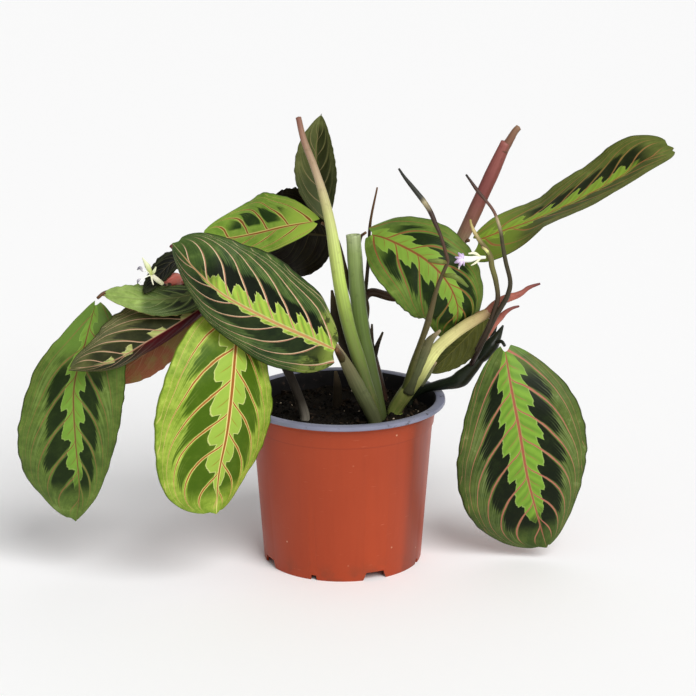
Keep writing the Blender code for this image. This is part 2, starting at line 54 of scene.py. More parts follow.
def srgb(text):
    """The linear colour of an #rrggbb display colour."""
    values = np.array([int(text[place:place + 2], 16) for place in (1, 3, 5)]) / 255
    return (*np.where(values < 0.04045, values / 12.92, ((values + 0.055) / 1.055) ** 2.4), 1.0)


def connect(tree, value, socket):
    """Links a field to a socket, or sets the socket to a plain value or an #rrggbb colour."""
    if isinstance(value, Field):
        tree.links.new(value.socket, socket)
    else:
        socket.default_value = srgb(value) if isinstance(value, str) else value


class Field:
    """A number that varies over a surface: one socket of a node tree, with the usual arithmetic."""

    def __init__(self, tree, socket):
        self.tree = tree
        self.socket = socket

    def math(self, operation, *others):
        node = self.tree.nodes.new("ShaderNodeMath")
        node.operation = operation
        for place, value in enumerate((self, *others)):
            connect(self.tree, value, node.inputs[place])
        return Field(self.tree, node.outputs[0])

    def __add__(self, other):
        return self.math("ADD", other)

    def __sub__(self, other):
        return self.math("SUBTRACT", other)

    def __mul__(self, other):
        return self.math("MULTIPLY", other)

    def __truediv__(self, other):
        return self.math("DIVIDE", other)

    def __pow__(self, other):
        return self.math("POWER", other)

    def __abs__(self):
        return self.math("ABSOLUTE")

    def swing(self, amount):
        """This field's swing round its middle value of one half, times an amount."""
        return (self - 0.5) * amount

    def flipped(self):
        """One minus this."""
        return (self * -1.0) + 1.0

    def step(self, low, high):
        """Rises smoothly from 0 where this is low to 1 where it is high."""
        node = self.tree.nodes.new("ShaderNodeMapRange")
        node.interpolation_type = "SMOOTHSTEP"
        for place, value in enumerate((self, low, high)):
            connect(self.tree, value, node.inputs[place])
        return Field(self.tree, node.outputs[0])

    def fall(self, low, high):
        """Falls smoothly from 1 where this is low to 0 where it is high."""
        return self.step(low, high).flipped()

    def ramp(self, stops):
        """A colour, or a grey read as a number, for each value of this, from {place: colour} stops."""
        node = self.tree.nodes.new("ShaderNodeValToRGB")
        spots = node.color_ramp.elements
        for index, (place, colour) in enumerate(stops.items()):
            spot = spots[index] if index < 2 else spots.new(place)
            spot.position = place
            spot.color = srgb(colour) if isinstance(colour, str) else (colour, colour, colour, 1.0)
        connect(self.tree, self, node.inputs[0])
        return Field(self.tree, node.outputs[0])


class Material:
    """A procedural material: a Principled shader and the fields that feed it."""

    def __init__(self, name, specular=0.5):
        self.made = bpy.data.materials.new(name)
        self.made.use_nodes = True
        self.tree = self.made.node_tree
        self.shader = self.tree.nodes["Principled BSDF"]
        self.shader.inputs["Specular IOR Level"].default_value = specular

    def node(self, kind, inputs, output=0):
        """A new node of a kind, with some of its inputs fed, and one of its outputs as a field."""
        made = self.tree.nodes.new("ShaderNode" + kind)
        for name, value in inputs.items():
            connect(self.tree, value, made.inputs[name])
        return Field(self.tree, made.outputs[output])

    def parts(self, vector):
        """The x, y and z of a vector."""
        split = self.tree.nodes.new("ShaderNodeSeparateXYZ")
        connect(self.tree, vector, split.inputs[0])
        return [Field(self.tree, output) for output in split.outputs]

    def map(self, name):
        """The two coordinates of a UV map, as fields."""
        source = self.tree.nodes.new("ShaderNodeUVMap")
        source.uv_map = name
        return self.parts(Field(self.tree, source.outputs[0]))[:2]

    def place(self):
        """The point on the object, in metres."""
        return self.node("TexCoord", {}, "Object")

    def vector(self, x, y, z=0.0):
        return self.node("CombineXYZ", {0: x, 1: y, 2: z})

    def noise(self, where, scale, detail=2.0, roughness=0.5):
        """Noise from about 0.25 to 0.75 round 0.5."""
        inputs = {"Vector": where, "Scale": scale, "Detail": detail, "Roughness": roughness}
        return self.node("TexNoise", inputs)

    def cells(self, where, scale):
        """Distance to the nearest of scattered points."""
        return self.node("TexVoronoi", {"Vector": where, "Scale": scale}, "Distance")

    def mix(self, amount, first, second):
        """A colour between two colours."""
        node = self.tree.nodes.new("ShaderNodeMix")
        node.data_type = "RGBA"
        for place, value in ((0, amount), (6, first), (7, second)):
            connect(self.tree, value, node.inputs[place])
        return Field(self.tree, node.outputs[2])

    def finish(self, colour, roughness, height=None, depth=0.0, strength=0.0):
        """Feeds the shader: its colour and roughness, and its bump if there is one."""
        connect(self.tree, colour, self.shader.inputs["Base Color"])
        connect(self.tree, roughness, self.shader.inputs["Roughness"])
        if height is not None:
            bump = self.node("Bump", {"Distance": depth, "Strength": strength, "Height": height})
            connect(self.tree, bump, self.shader.inputs["Normal"])
        return self.made


def placed(name, data):
    """A new object in the scene."""
    thing = bpy.data.objects.new(name, data)
    bpy.context.scene.collection.objects.link(thing)
    return thing


# ---------------------------------------------------------------- leaf materials

# How wide the lime centre is from one side vein (0) to the next (1), towards the tip.
TOOTHED = {0.0: 0.82, 0.25: 0.95, 0.56: 1.0, 0.64: 0.60, 0.80: 0.66, 1.0: 0.82}
JAGGED = {0.0: 0.62, 0.18: 0.84, 0.46: 1.0, 0.58: 0.90, 0.67: 0.46, 0.82: 0.40, 1.0: 0.62}
SCALLOPED = {0.0: 0.58, 0.10: 0.86, 0.28: 1.0, 0.52: 0.98, 0.68: 0.82, 0.82: 0.46, 1.0: 0.58}

# The colours of each leaf pattern, in the order of COLOURS.
COLOURS = ("centre", "comb", "rim", "blotch", "blade", "shade", "streak", "vein", "rib", "edge", "base")
PALETTES = {
    "classic": "#7aa036 #5a7e2a #9eba60 #0c1406 #5a6a2e #384a1e #90a06a #a4564c #9c5242 #c68e70 #608032",
    "dark": "#a0ba46 #749234 #ced482 #0a1006 #4c622c #22361a #8aa062 #a63e3e #ba8654 #ecd6ac #889842",
    "folded": "#b0b66c #848c4c #cecc92 #0e1208 #5c5e34 #363c1e #88865a #a05c4c #966850 #d6bc96 #464e24",
    "lime": "#98b446 #8ca83e #dadc8c #3e5a06 #9cb242 #6e8a24 #c4d070 #965218 #924e1a #e6d688 #8ca43a",
    "bright": "#82a43c #729234 #92ae50 #142408 #6a8234 #4a6224 #8c9e54 #88482a #864a2a #9c6e46 #6c8e36",
    "yellow": "#86a03e #7e983a #8ca642 #1a300a #86a43e #64862c #9cb058 #7e4418 #864c1e #d6c274 #96b042",
    "green": "#749a38 #648630 #96b258 #162408 #627832 #445822 #869a56 #744e2c #704c2a #9e8052 #608032",
    "long": "#88a836 #708c2e #acbc58 #161e08 #626e30 #4c5422 #848a48 #8e522c #92562e #b28c58 #748a32",
    "pale": "#96ac5e #90a658 #9aae62 #1e2414 #92aa58 #6c823e #bece94 #787446 #6e683e #b0b884 #3a4c24",
    "dull": "#68783c #5e6c36 #6c7a42 #2a2e16 #666c3c #464c28 #8a8860 #7a5a3e #806446 #a0926c #40482a",
    "withered": "#464c2a #3c4226 #5c603a #0c0e08 #2a301a #161a0e #626848 #463a28 #504632 #7a7a58 #282c18",
}

CLASSIC = {
    # the lime centre: its outline, its width left and right, and where along the leaf it fades out
    "lobe": TOOTHED,
    "spread": (1.0, 1.0),
    "teeth": 0.04,
    "fades": (0.76, 0.88),
    "patches": 0.0,
    "centre_shown": 1.0,
    # the blotches: how dark left and right, where they start, stop and end, and their gap to the veins
    "dark": (1.0, 1.0),
    "start": (0.05, 0.16),
    "stop": (0.84, 0.94),
    "end": 0.58,
    "gap": (0.02, 0.14),
    "lens": 0.0,
    "near": (0.0, 0.01),
    "base_end": (0.0, 0.08),
    "spotted": 0.0,
    # strengths
    "silver": 0.85,
    "flames": 0.2,
    "combed": 0.5,
    "mottled": 0.9,
    "two_tone": 0.3,
    "outlined": 0.3,
    "vein_size": 0.92,
    # the colour of the underside that shows where the left half is folded over, if it is
    "turned_under": None,
}

# What differs from CLASSIC in the other patterns.
CHANGES = {
    "dark": dict(
        lobe=JAGGED, spread=(0.34, 0.98), teeth=0.11, fades=(0.70, 0.84), spotted=1.0, dark=(0.75, 1.0),
        start=(0.02, 0.1), stop=(0.76, 0.88), end=0.50, gap=(0.02, 0.12), base_end=(0.04, 0.16), silver=1.2,
        flames=0.1, combed=0.8, two_tone=0.95, vein_size=1.15,
    ),
    "folded": dict(
        spread=(0.4, 0.62), teeth=0.08, patches=1.0, dark=(0.7, 0.75), start=(0.04, 0.2), end=0.55,
        gap=(0.03, 0.24), silver=1.0, two_tone=0.75, vein_size=1.05, turned_under="#641a20",
    ),
    "lime": dict(
        lobe=SCALLOPED, spread=(0.9, 1.0), teeth=0.02, fades=(0.84, 0.94), start=(0.10, 0.22), end=0.66,
        gap=(0.03, 0.10), lens=0.8, silver=0.5, flames=0.1, combed=0.25, mottled=1.5, two_tone=0.0,
        outlined=0.85, vein_size=1.15,
    ),
    "bright": dict(
        start=(0.10, 0.2), end=0.66, gap=(0.05, 0.18), silver=0.4, flames=0.15, combed=0.3, vein_size=1.05,
    ),
    "yellow": dict(
        spread=(0.5, 0.5), dark=(0.0, 1.0), start=(0.24, 0.36), stop=(0.74, 0.86), end=0.66, gap=(0.10, 0.14),
        lens=1.6, near=(0.18, 0.26), base_end=(0.1, 0.4), silver=0.5, combed=0.2, mottled=1.3, two_tone=0.0,
        outlined=0.85, vein_size=1.5, centre_shown=0.2,
    ),
    "green": dict(
        lobe=JAGGED, spread=(0.70, 0.76), teeth=0.06, fades=(0.72, 0.86), start=(0.2, 0.34),
        stop=(0.80, 0.90), end=0.52, gap=(0.05, 0.16), lens=0.8, base_end=(0.16, 0.3), silver=0.5, flames=0.3,
        combed=0.35, mottled=1.3, vein_size=0.72,
    ),
    "long": dict(
        lobe=JAGGED, spread=(1.15, 0.5), teeth=0.09, fades=(0.74, 0.86), dark=(1.0, 0.4), start=(0.2, 0.32),
        base_end=(0.1, 0.3), silver=0.6, vein_size=1.1,
    ),
    "pale": dict(
        start=(0.0, 0.02), stop=(0.3, 0.56), end=0.9, gap=(0.1, 0.2), base_end=(0.58, 0.72), combed=0.2,
        mottled=1.4, vein_size=0.5, centre_shown=0.2,
    ),
    "dull": dict(
        spread=(0.4, 0.4), dark=(0.3, 0.9), start=(0.1, 0.3), end=0.7, gap=(0.05, 0.2), base_end=(0.3, 0.6),
        silver=0.5, combed=0.2, two_tone=0.6, vein_size=0.6, centre_shown=0.3,
    ),
    "withered": dict(
        start=(0.0, 0.02), end=0.7, gap=(0.05, 0.1), silver=0.5, combed=0.2, vein_size=0.6, centre_shown=0.0,
    ),
}


def look_of(name):
    """Everything that leaf_top needs to know about one leaf pattern."""
    colours = dict(zip(COLOURS, PALETTES[name].split()))
    return SimpleNamespace(**{**CLASSIC, **colours, **CHANGES.get(name, {})})


def pattern_of(skin):
    """The fields that every part of the leaf pattern is made of."""
    signed, along = skin.map("leaf")
    count, across = skin.map("veins")
    place = skin.place()
    slow = skin.noise(place, 45.0, 3.0)
    count = count + slow.swing(0.16)
    phase = count.math("FRACT")
    return SimpleNamespace(
        side=signed.step(0.498, 0.502),
        along=along,
        across=across,
        count=count,
        phase=phase,
        to_vein=abs(phase - 0.5).flipped() - 0.5,
        slow=slow,
        mottle=skin.noise(place, 130.0, 5.0, 0.7),
        fine=skin.noise(place, 420.0, 3.0, 0.6),
        streaks=skin.noise(skin.vector(count * 3.0, across * 1.6, along), 1.6, 3.0, 0.6),
        threads=skin.noise(skin.vector(count * 9.0, across * 1.8, along), 1.0, 2.0, 0.5),
        hairs=(count * (7.0 * 2 * math.pi) + slow * 9.0).math("SINE") * 0.5 + 0.5,
    )


def by_side(at, pair):
    """A number that differs between the left and right halves."""
    return at.side * (pair[1] - pair[0]) + pair[0]


def centre_edge(at, look):
    """How far the lime centre reaches: widest past each side vein, then a step in before the next one."""
    reach = at.along.ramp({0.0: 0.40, 0.15: 0.36, 0.3: 0.31, 0.5: 0.30, 0.74: 0.22, 0.90: 0.04})
    teeth = abs((at.count * 3.0).math("FRACT") - 0.5) * look.teeth
    ragged = at.slow.swing(0.16) + (at.threads - 0.5) * look.teeth * 1.2
    return (reach * at.phase.ramp(look.lobe) + teeth + ragged) * by_side(at, look.spread)


def blotches(at, look):
    """Where the dark blotches lie, between the side veins, with their feathered ends."""
    across = at.across
    end = at.slow.swing(0.4) + look.end
    feather = (across + at.streaks.swing(0.26) + at.hairs.swing(0.03) - end).fall(-0.04, 0.04)
    shown = at.along.step(*look.start) * at.along.fall(*look.stop) * by_side(at, look.dark)
    inset = (across - 0.25) * (look.gap[1] - look.gap[0]) * 3.0 + look.gap[0]
    inset = inset + abs(across - 0.38) ** 1.6 * look.lens
    uneven = at.streaks.swing(0.08)
    apart = (at.to_vein + uneven + at.mottle.swing(look.mottled) * 0.06 - inset).step(-0.03, 0.04)
    return feather * (shown * across.step(*look.near)) * apart


def blade_colour(skin, at, look):
    """The green outside the centre, streaked along the side veins, with the dark blotches."""
    across, slow, mottle = at.across, at.slow, at.mottle
    tone = at.streaks.swing(1.1) + slow.swing(1.4) + mottle.swing(look.mottled) * 2.2 + 0.5
    colour = skin.mix(tone, look.shade, look.blade)
    light = mottle.step(0.56, 0.68) * slow.step(0.5, 0.64)
    colour = skin.mix(light * look.mottled * 0.35, colour, look.streak)
    flames = at.streaks.step(0.50, 0.64) * across.step(0.44, 0.60) * across.fall(0.66, 0.90)
    colour = skin.mix(flames * look.flames * at.to_vein.step(0.08, 0.3), colour, look.streak)
    at_base = (at.along + slow.swing(0.3)).fall(*look.base_end)
    colour = skin.mix(at_base * 0.85, colour, look.base)
    spots = mottle.step(0.50, 0.57) * across.step(0.25, 0.5) * (at.along + slow * 0.1).fall(0.12, 0.26)
    colour = skin.mix(spots * look.spotted * 0.8, colour, look.blotch)
    body = skin.mix(mottle.step(0.45, 0.75) * 0.16, look.blotch, look.shade)
    colour = skin.mix(blotches(at, look) * 0.97, colour, body)
    hairs = at.hairs.step(0.55, 0.95) * across.step(0.44, 0.64) * across.fall(0.86, 0.99)
    return skin.mix(hairs * at.threads.step(0.42, 0.56) * look.silver * 0.3, colour, look.streak)


def lime_centre(skin, colour, at, look, edge):
    """Lays the light centre over the blade, combed across and pale at its rim, and says where it lies."""
    kept = (at.along + at.streaks.swing(0.16)).fall(*look.fades) * look.centre_shown
    if look.patches:
        kept = kept * (at.along * 34.0 + at.slow * 9.0).math("SINE").step(-0.1, 0.4)
    inside = (at.across - edge).fall(-0.006, 0.006) * kept
    rim = abs(at.across - edge).fall(0.002, 0.014) * kept
    wave = (at.count * (3.0 * 2 * math.pi) + at.slow * 6.0).math("SINE")
    comb = (wave * 0.5 + at.threads.swing(1.4) + at.mottle.swing(0.8)) * look.combed
    colour = skin.mix(inside, colour, skin.mix(comb + 0.62, look.comb, look.centre))
    return skin.mix(rim * at.along.step(0.02, 0.14) * 0.6, colour, look.rim), inside


def leaf_top(name, look):
    """The patterned upper side. Map "veins" holds a count, whole on each side vein, and the place across."""
    skin = Material(name, specular=0.11)
    at = pattern_of(skin)
    across, along = at.across, at.along
    edge = centre_edge(at, look)
    colour, inside = lime_centre(skin, blade_colour(skin, at, look), at, look, edge)

    # Side veins taper towards the margin and are thinner in the centre, where shorter ones run between them.
    taper = (across * -0.030 + 0.060) * (across.step(0.12, 0.42) * 0.4 + 0.6) * look.vein_size
    taper = taper * (at.mottle.swing(1.1) + 1.0)
    shown = across.fall(0.90, 0.99) * along.fall(0.92, 0.99)
    side_edge = (at.to_vein / (taper * 1.5)).fall(0.65, 1.0) * shown
    side_vein = (at.to_vein / taper).fall(0.55, 1.0) * shown
    short = abs(at.phase - 0.5).fall(0.012, 0.03) * (across / (edge * 0.85)).fall(0.5, 1.0)
    main = (along * -0.022 + 0.034) * look.vein_size
    main_edge = (across / (main * 1.6)).fall(0.7, 1.0)
    main_vein = (across / main).fall(0.55, 1.0) * along.fall(0.90, 0.98)

    dim = skin.mix(0.4, look.vein, look.rib)
    lit_side = skin.mix(at.phase.step(0.3, 0.7) * look.two_tone, look.edge, look.vein)
    vein_colour = skin.mix(inside * 0.75, skin.mix(look.two_tone, look.vein, lit_side), dim)
    vein_colour = skin.mix(across.step(0.70, 0.98) * 0.6, vein_colour, skin.mix(0.5, look.edge, look.blade))
    colour = skin.mix(short * inside * 0.5, colour, dim)
    colour = skin.mix(side_edge * look.outlined, colour, look.edge)
    colour = skin.mix(side_vein * 0.94, colour, vein_colour)
    colour = skin.mix(main_edge * look.outlined, colour, look.edge)
    colour = skin.mix(main_vein * 0.95, colour, look.rib)
    colour = skin.mix(across.step(0.965, 0.99) * 0.8, colour, skin.mix(0.5, look.shade, "#2c1e16"))
    if look.turned_under:
        fold = at.side.flipped() * along.fall(0.5, 0.7)
        colour = skin.mix(fold, colour, skin.mix(at.streaks, look.turned_under, "#3c0c14"))

    height = at.hairs * 0.2 + at.threads * 0.3 + at.fine * 0.3 - side_vein * 0.8 - main_vein * 0.8
    return skin.finish(colour, at.streaks.swing(0.2) + 0.44, height, 0.14 * MM, 0.55)


def leaf_under(name, ground, rib, patch, patch_colour, specular=0.2):
    """The plainer underside, with ribs that stand out and a fine weave between them."""
    skin = Material(name, specular=specular)
    along = skin.map("leaf")[1]
    count, across = skin.map("veins")
    to_vein = abs(count.math("FRACT") - 0.5).flipped() - 0.5
    slow = skin.noise(skin.place(), 45.0, 3.0)
    threads = skin.noise(skin.vector(count * 26.0, across * 2.0, along), 1.0, 3.0, 0.65)
    colour = skin.mix(threads.step(0.3, 0.75), ground, skin.mix(0.5, ground, rib))
    patches = skin.noise(skin.place(), 85.0, 4.0, 0.6) + slow.swing(0.6)
    colour = skin.mix(patches.step(0.46, 0.62) * patch, colour, patch_colour)
    ribs = (to_vein / (across * -0.03 + 0.05)).fall(0.4, 1.0) * across.fall(0.8, 1.0)
    main = (across / (along * -0.03 + 0.05)).fall(0.5, 1.0)
    colour = skin.mix(ribs * 0.7, colour, rib)
    colour = skin.mix(main * 0.85, colour, rib)
    height = threads * 0.5 + ribs * 0.8 + main * 0.8
    return skin.finish(colour, threads.swing(0.2) + 0.45, height, 0.15 * MM, 0.6)


# ---------------------------------------------------------------- leaves

LEAF_THICKNESS = 0.45
LEAF_TIP = 2.5
LEAF_ROWS = 110
LEAF_COLUMNS = 26
QUILTING = 0.42
RIB_GROOVE = 0.35
VEIN_REACH = 0.97
VEIN_CURVE = 0.21


def smooth_path(points, stations):
    """A smooth curve through the points, read at stations from 0 to 1 along its length."""
    knots = np.asarray(points, float)
    knots = np.vstack([2 * knots[0] - knots[1], knots, 2 * knots[-1] - knots[-2]])
    t = np.linspace(0, 1, 24, endpoint=False)[:, None]
    runs = []
    for a, b, c, d in zip(knots, knots[1:], knots[2:], knots[3:]):
        cubic = 2 * b + (c - a) * t + (2 * a - 5 * b + 4 * c - d) * t**2 + (3 * b - a - 3 * c + d) * t**3
        runs.append(cubic / 2)
    curve = np.vstack([*runs, knots[-2][None]])
    steps = np.linalg.norm(np.diff(curve, axis=0), axis=1)
    length = np.concatenate([[0], np.cumsum(steps)])
    where = np.asarray(stations) * length[-1]
    found = np.stack([np.interp(where, length, curve[:, axis]) for axis in range(3)], axis=1)
    return found, length[-1]


def unit(vectors):
    return vectors / np.maximum(np.linalg.norm(vectors, axis=-1, keepdims=True), 1e-12)


def blade_grid(rib, face, half, fold, skew, blunt, lobes, crinkle, wave, rows, columns):
    """Points of a leaf blade, by the source's formula, with small waves along its edge."""
    stations = 0.004 + 0.496 * (1 - np.cos(np.pi * np.linspace(0, 1, rows + 1)))
    middle = smooth_path(rib, np.concatenate([[0], stations, [1]]))[0]
    ahead = unit(np.gradient(middle, axis=0))[1:-1]
    middle = middle[1:-1]
    ends = np.asarray(face, float)
    normal = ends[0] + (ends[1] - ends[0]) * stations[:, None]
    normal = unit(normal - (normal * ahead).sum(1, keepdims=True) * ahead)
    across = np.cross(ahead, normal)
    grid = np.zeros((rows + 1, 2 * columns + 1, 3))
    grid[:, columns] = middle + ahead * (LEAF_TIP * stations**40)[:, None]
    for side, sign in ((0, -1), (1, 1)):
        lift = np.atleast_2d(np.asarray(fold[side], float))
        place = np.linspace(0, 1, len(lift))
        at_rib = np.radians(np.interp(stations, place, lift[:, 0]))
        at_margin = np.radians(np.interp(stations, place, lift[:, 1]))
        width = half[side] * np.sin(np.pi * stations ** skew[side]) ** blunt[side]
        ripple = np.sin(2 * np.pi * (2.6 * stations + wave[side])) * np.sin(np.pi * stations) ** 0.5
        small = np.sin(2 * np.pi * (9 * stations + 3 * wave[side]))
        small = small + 0.6 * np.sin(2 * np.pi * (15 * stations))
        small = small * np.sin(np.pi * stations) * crinkle
        reach = np.zeros_like(middle)
        for column in range(1, columns + 1):
            angle = at_rib + (at_margin - at_rib) * (column - 0.5) / columns
            step = sign * across * np.cos(angle)[:, None] + normal * np.sin(angle)[:, None]
            reach = reach + step * (width / columns)[:, None]
            out = column / columns
            lobe = out**2 * (0.9 * stations**8 - lobes[side] * (1 - 0.45 * out**6) * (1 - stations) ** 8)
            tip = LEAF_TIP * max(0.0, 1 - 2 * out) * stations**40
            rise = 0.035 * width * out**2 * ripple + 0.22 * out**6 * small
            spread = 0.28 * out**8 * small
            flat = middle + reach + ahead * (lobe + tip)[:, None]
            grid[:, columns + sign * column] = flat + normal * rise[:, None] + step * spread[:, None]
    return grid, stations


def vein_count(along, across, veins, shift):
    """Whole on each side vein: they leave the midrib steeply and bend to run with the margin."""
    bend = -VEIN_CURVE * np.log(1 - np.minimum(across, 0.93) / VEIN_REACH)
    bend = bend * np.minimum(1, along / 0.42) ** 0.55 - 0.022 * np.exp(-across / 0.035)
    return veins * (along - bend) + shift


def blade_faces(rows, columns, flip):
    """The faces of a blade, each with its side (0 above, 1 below and at the edge) and half of the leaf."""
    wide = 2 * columns + 1
    total = (rows + 1) * wide
    faces = []
    for row in range(rows):
        for column in range(wide - 1):
            a = row * wide + column
            quad = (a, a + wide, a + wide + 1, a + 1)
            half = int(column >= columns)
            faces.append((quad, 0, half))
            faces.append((tuple(corner + total for corner in reversed(quad)), 1, half))
    border = list(range(wide))
    border += [row * wide + wide - 1 for row in range(1, rows + 1)]
    border += [rows * wide + column for column in range(wide - 2, -1, -1)]
    border += [row * wide for row in range(rows - 1, 0, -1)]
    for a, b in zip(border, border[1:] + border[:1]):
        faces.append(((b, b + total, a + total, a), 1, int(a % wide >= columns)))
    return [(corners[::-1] if flip else corners, side, half) for corners, side, half in faces]


def map_blade(mesh, stations, signed, counts, sides, halves):
    """The UV maps of a blade: place on the leaf, place among the veins, and the two sides laid out apart."""
    total = len(stations) * len(signed)
    corners = np.array([loop.vertex_index for loop in mesh.loops])
    at = corners % total
    offset = np.tile(signed, len(stations))[at]
    flat = np.stack([offset * 0.5 + 0.5, np.repeat(stations, len(signed))[at]], axis=1)
    count = np.stack(counts).reshape(2, -1)[np.repeat(halves, 4), at]
    apart = flat * [0.48, 0.98] + [0.01, 0.01]
    apart[(corners >= total) | (np.repeat(sides, 4) == 1), 0] += 0.5
    maps = {"leaf": flat, "veins": np.stack([count, np.abs(offset)], axis=1), "OFBake": apart}
    for name, values in maps.items():
        layer = mesh.uv_layers.new(name=name)
        layer.data.foreach_set("uv", values.astype(np.float32).ravel())


def leaf(node, top, under, veins, rib, face, half, fold, skew=(0.9, 0.9), blunt=(0.6, 0.6),
         lobes=(3, 3), size=1.0, crinkle=1.0):
    """One blade with quilting between its side veins, patterned above and plainer below."""
    rng = np.random.default_rng(SEED + sum(map(ord, node)))
    wave = rng.random(2)
    shift = rng.random(2) * 0.5
    rows = round(LEAF_ROWS * size)
    columns = round(LEAF_COLUMNS * size)
    grid, stations = blade_grid(rib, face, half, fold, skew, blunt, lobes, crinkle, wave, rows, columns)
    facing = unit(np.cross(np.gradient(grid, axis=0), np.gradient(grid, axis=1)))
    if (facing[rows // 2, columns] * np.asarray(face[0])).sum() < 0:
        facing = -facing

    signed = np.arange(-columns, columns + 1) / columns
    out = np.abs(signed)
    along = stations[:, None]
    counts = [vein_count(along, out[None, :], veins, shift[side] + 0.35 * side) for side in (0, 1)]
    between = np.abs(np.sin(np.pi * np.where(signed > 0, counts[1], counts[0])))
    fade = np.sin(np.pi * out**0.8) ** 0.7 * np.sin(np.pi * along) ** 0.5
    quilt = QUILTING * (between**0.8 - 0.5) * fade - RIB_GROOVE * np.exp(-((out / 0.05) ** 2))
    grid = grid + facing * quilt[:, :, None]
    thick = facing * (LEAF_THICKNESS / 2 * (1 - 0.6 * out**4))[None, :, None]
    points = np.concatenate([(grid + thick).reshape(-1, 3), (grid - thick).reshape(-1, 3)]) * MM

    turn = np.cross(grid[1, columns] - grid[0, columns], grid[1, columns + 1] - grid[1, columns])
    faces, sides, halves = zip(*blade_faces(rows, columns, (turn * facing[1, columns]).sum() < 0))
    mesh = bpy.data.meshes.new(node + "_blade")
    mesh.from_pydata([tuple(point) for point in points], [], faces)
    mesh.materials.append(top)
    mesh.materials.append(under)
    mesh.polygons.foreach_set("material_index", sides)
    mesh.polygons.foreach_set("use_smooth", [True] * len(faces))
    map_blade(mesh, stations, signed, counts, sides, halves)
    blade = placed(node + "_blade", mesh)
    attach(blade, "root")
    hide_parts(node)


tops = {name: leaf_top("leaf_" + name, look_of(name)) for name in PALETTES}
reddish = leaf_under("leaf_under_red", "#965438", "#b68c66", 0.9, "#947e4a")
# A near-black underside with dull pale ribs: painted shade, for leaves whose undersides lie in shadow.
shaded_underside = leaf_under("leaf_under_painted_shade", "#060502", "#403a24", 0.5, "#160c08", 0.06)
olive = leaf_under("leaf_under_olive", "#4a501e", "#787636", 0.4, "#283016")

leaf(
    "leaf_far_left", tops["green"], reddish, 7.0,
    rib=[
        (-139, -36, 163), (-145, -44, 141), (-151, -49, 118),
        (-151, -50, 89), (-150, -46, 57), (-153, -40, 36),
    ],
    face=[(-0.1, -0.95, 0.3), (-0.15, -1, 0)], half=(28.5, 34.5), fold=((-8, -20), (5, -10)),
    skew=(0.7, 1.7), blunt=(0.85, 0.46), lobes=(4, 4),
)
leaf(
    "leaf_left_front", tops["folded"], reddish, 8.0,
    rib=[(-64, -34, 171), (-85, -46, 159), (-107, -58, 148), (-128, -66, 138), (-150, -68, 134)],
    face=[(0, -0.8, 0.6), (-0.1, -0.8, 0.6)], half=(18, 25), fold=((-80, -110), (-10, 10)), skew=(1.0, 1.1),
)
leaf(
    "leaf_left_lower", tops["dark"], reddish, 8.0,
    rib=[(-72, -26, 163), (-95, -26, 144), (-115, -26, 129), (-132, -25, 115)],
    face=[(0, 0.8, -0.3), (0, 0.8, -0.3)], half=(16, 13), fold=((0, -12), (0, -12)), skew=(1.0, 1.5),
    lobes=(1, 1), size=0.8,
)
leaf(
    "leaf_lime", tops["lime"], olive, 6.6,
    rib=[(-57, -46, 161), (-59, -58, 145), (-61, -68, 122), (-64, -71, 98), (-69, -69, 73), (-71, -63, 49)],
    face=[(0.35, -0.85, 0.35), (0.35, -0.9, 0.05)], half=(32.4, 42.4), fold=((-16, -34), (5, -8)),
    skew=(1.05, 1.08), blunt=(0.47, 0.4),
)
leaf(
    "leaf_front", tops["dark"], reddish, 8.0,
    rib=[
        (-4, -45, 139), (-18, -57, 149), (-40, -70, 163),
        (-64, -78, 179), (-78, -75.5, 191), (-92, -65.8, 204.4),
    ],
    face=[(-0.1, -0.8, 0.55), (-0.2, -0.8, 0.5)], half=(26, 33.5), fold=((-35, -60), (6, -4)),
    skew=(0.6, 0.97), blunt=(0.5, 0.38), lobes=(11, 3), crinkle=0.25,
)
leaf(
    "leaf_upper_left", tops["yellow"], olive, 5.4,
    rib=[(-16, -3, 203), (-34, 4, 198), (-51, 12, 192), (-68, 22, 187), (-82, 30, 187)],
    face=[(0, -0.6, 0.8), (0, -0.6, 0.8)], half=(15, 31), fold=((0, -20), (0, 5)), skew=(0.9, 1.3),
    blunt=(0.5, 0.54), lobes=(4, 6), crinkle=0.4,
)
leaf(
    "leaf_top", tops["dull"], olive, 6.0,
    rib=[(-10, 20.5, 200), (-14, 25, 218), (-15.2, 29, 238), (-12.5, 34.5, 256.5)],
    face=[(0.1, -1, 0), (0.1, -1, 0)], half=(15.2, 16.6), fold=((15, 40), (30, 70)), skew=(0.9, 0.85),
    blunt=(0.75, 0.75),
)
leaf(
    "leaf_rear", tops["dark"], shaded_underside, 8.0,
    rib=[(-7, 26, 187.5), (-22, 34, 187.5), (-37, 41, 188.5), (-51, 48, 190.5)],
    face=[(0, 0.95, 0.2), (0, 0.95, 0.2)], half=(27, 32), fold=((0, 15), (0, 15)), skew=(0.9, 1.15),
    blunt=(0.55, 0.5),
)
leaf(
    "leaf_right", tops["bright"], olive, 6.6,
    rib=[(16.4, 0.4, 194.5), (27, -9, 193.5), (47, -20, 185), (60, -25, 172), (66, -18, 154), (62, -5, 134)],
    face=[(0.05, -0.8, 0.6), (0.3, -0.95, -0.2)], half=(24.5, 29.5), fold=((0, -25), (0, -12)),
    skew=(0.7, 0.88), blunt=(0.62, 0.56), lobes=(9, 4),
)
leaf(
    "leaf_long_right", tops["long"], olive, 7.4,
    rib=[(78, 13.6, 188), (91, 10, 194), (117, 6, 205), (152, 4, 223.5), (173, 6, 237), (188, 10, 242.5)],
    face=[(-0.35, -0.35, 0.85), (-0.45, -0.25, 0.85)], half=(27, 19),
    fold=(((8, 16), (-9, -1), (4, 14), (14, 28)), ((-44, -34), (11, 16), (8, 12), (-14, -10))),
    skew=(1.5, 0.6), blunt=(0.3, 0.33), lobes=(5, 11), crinkle=0.4,
)
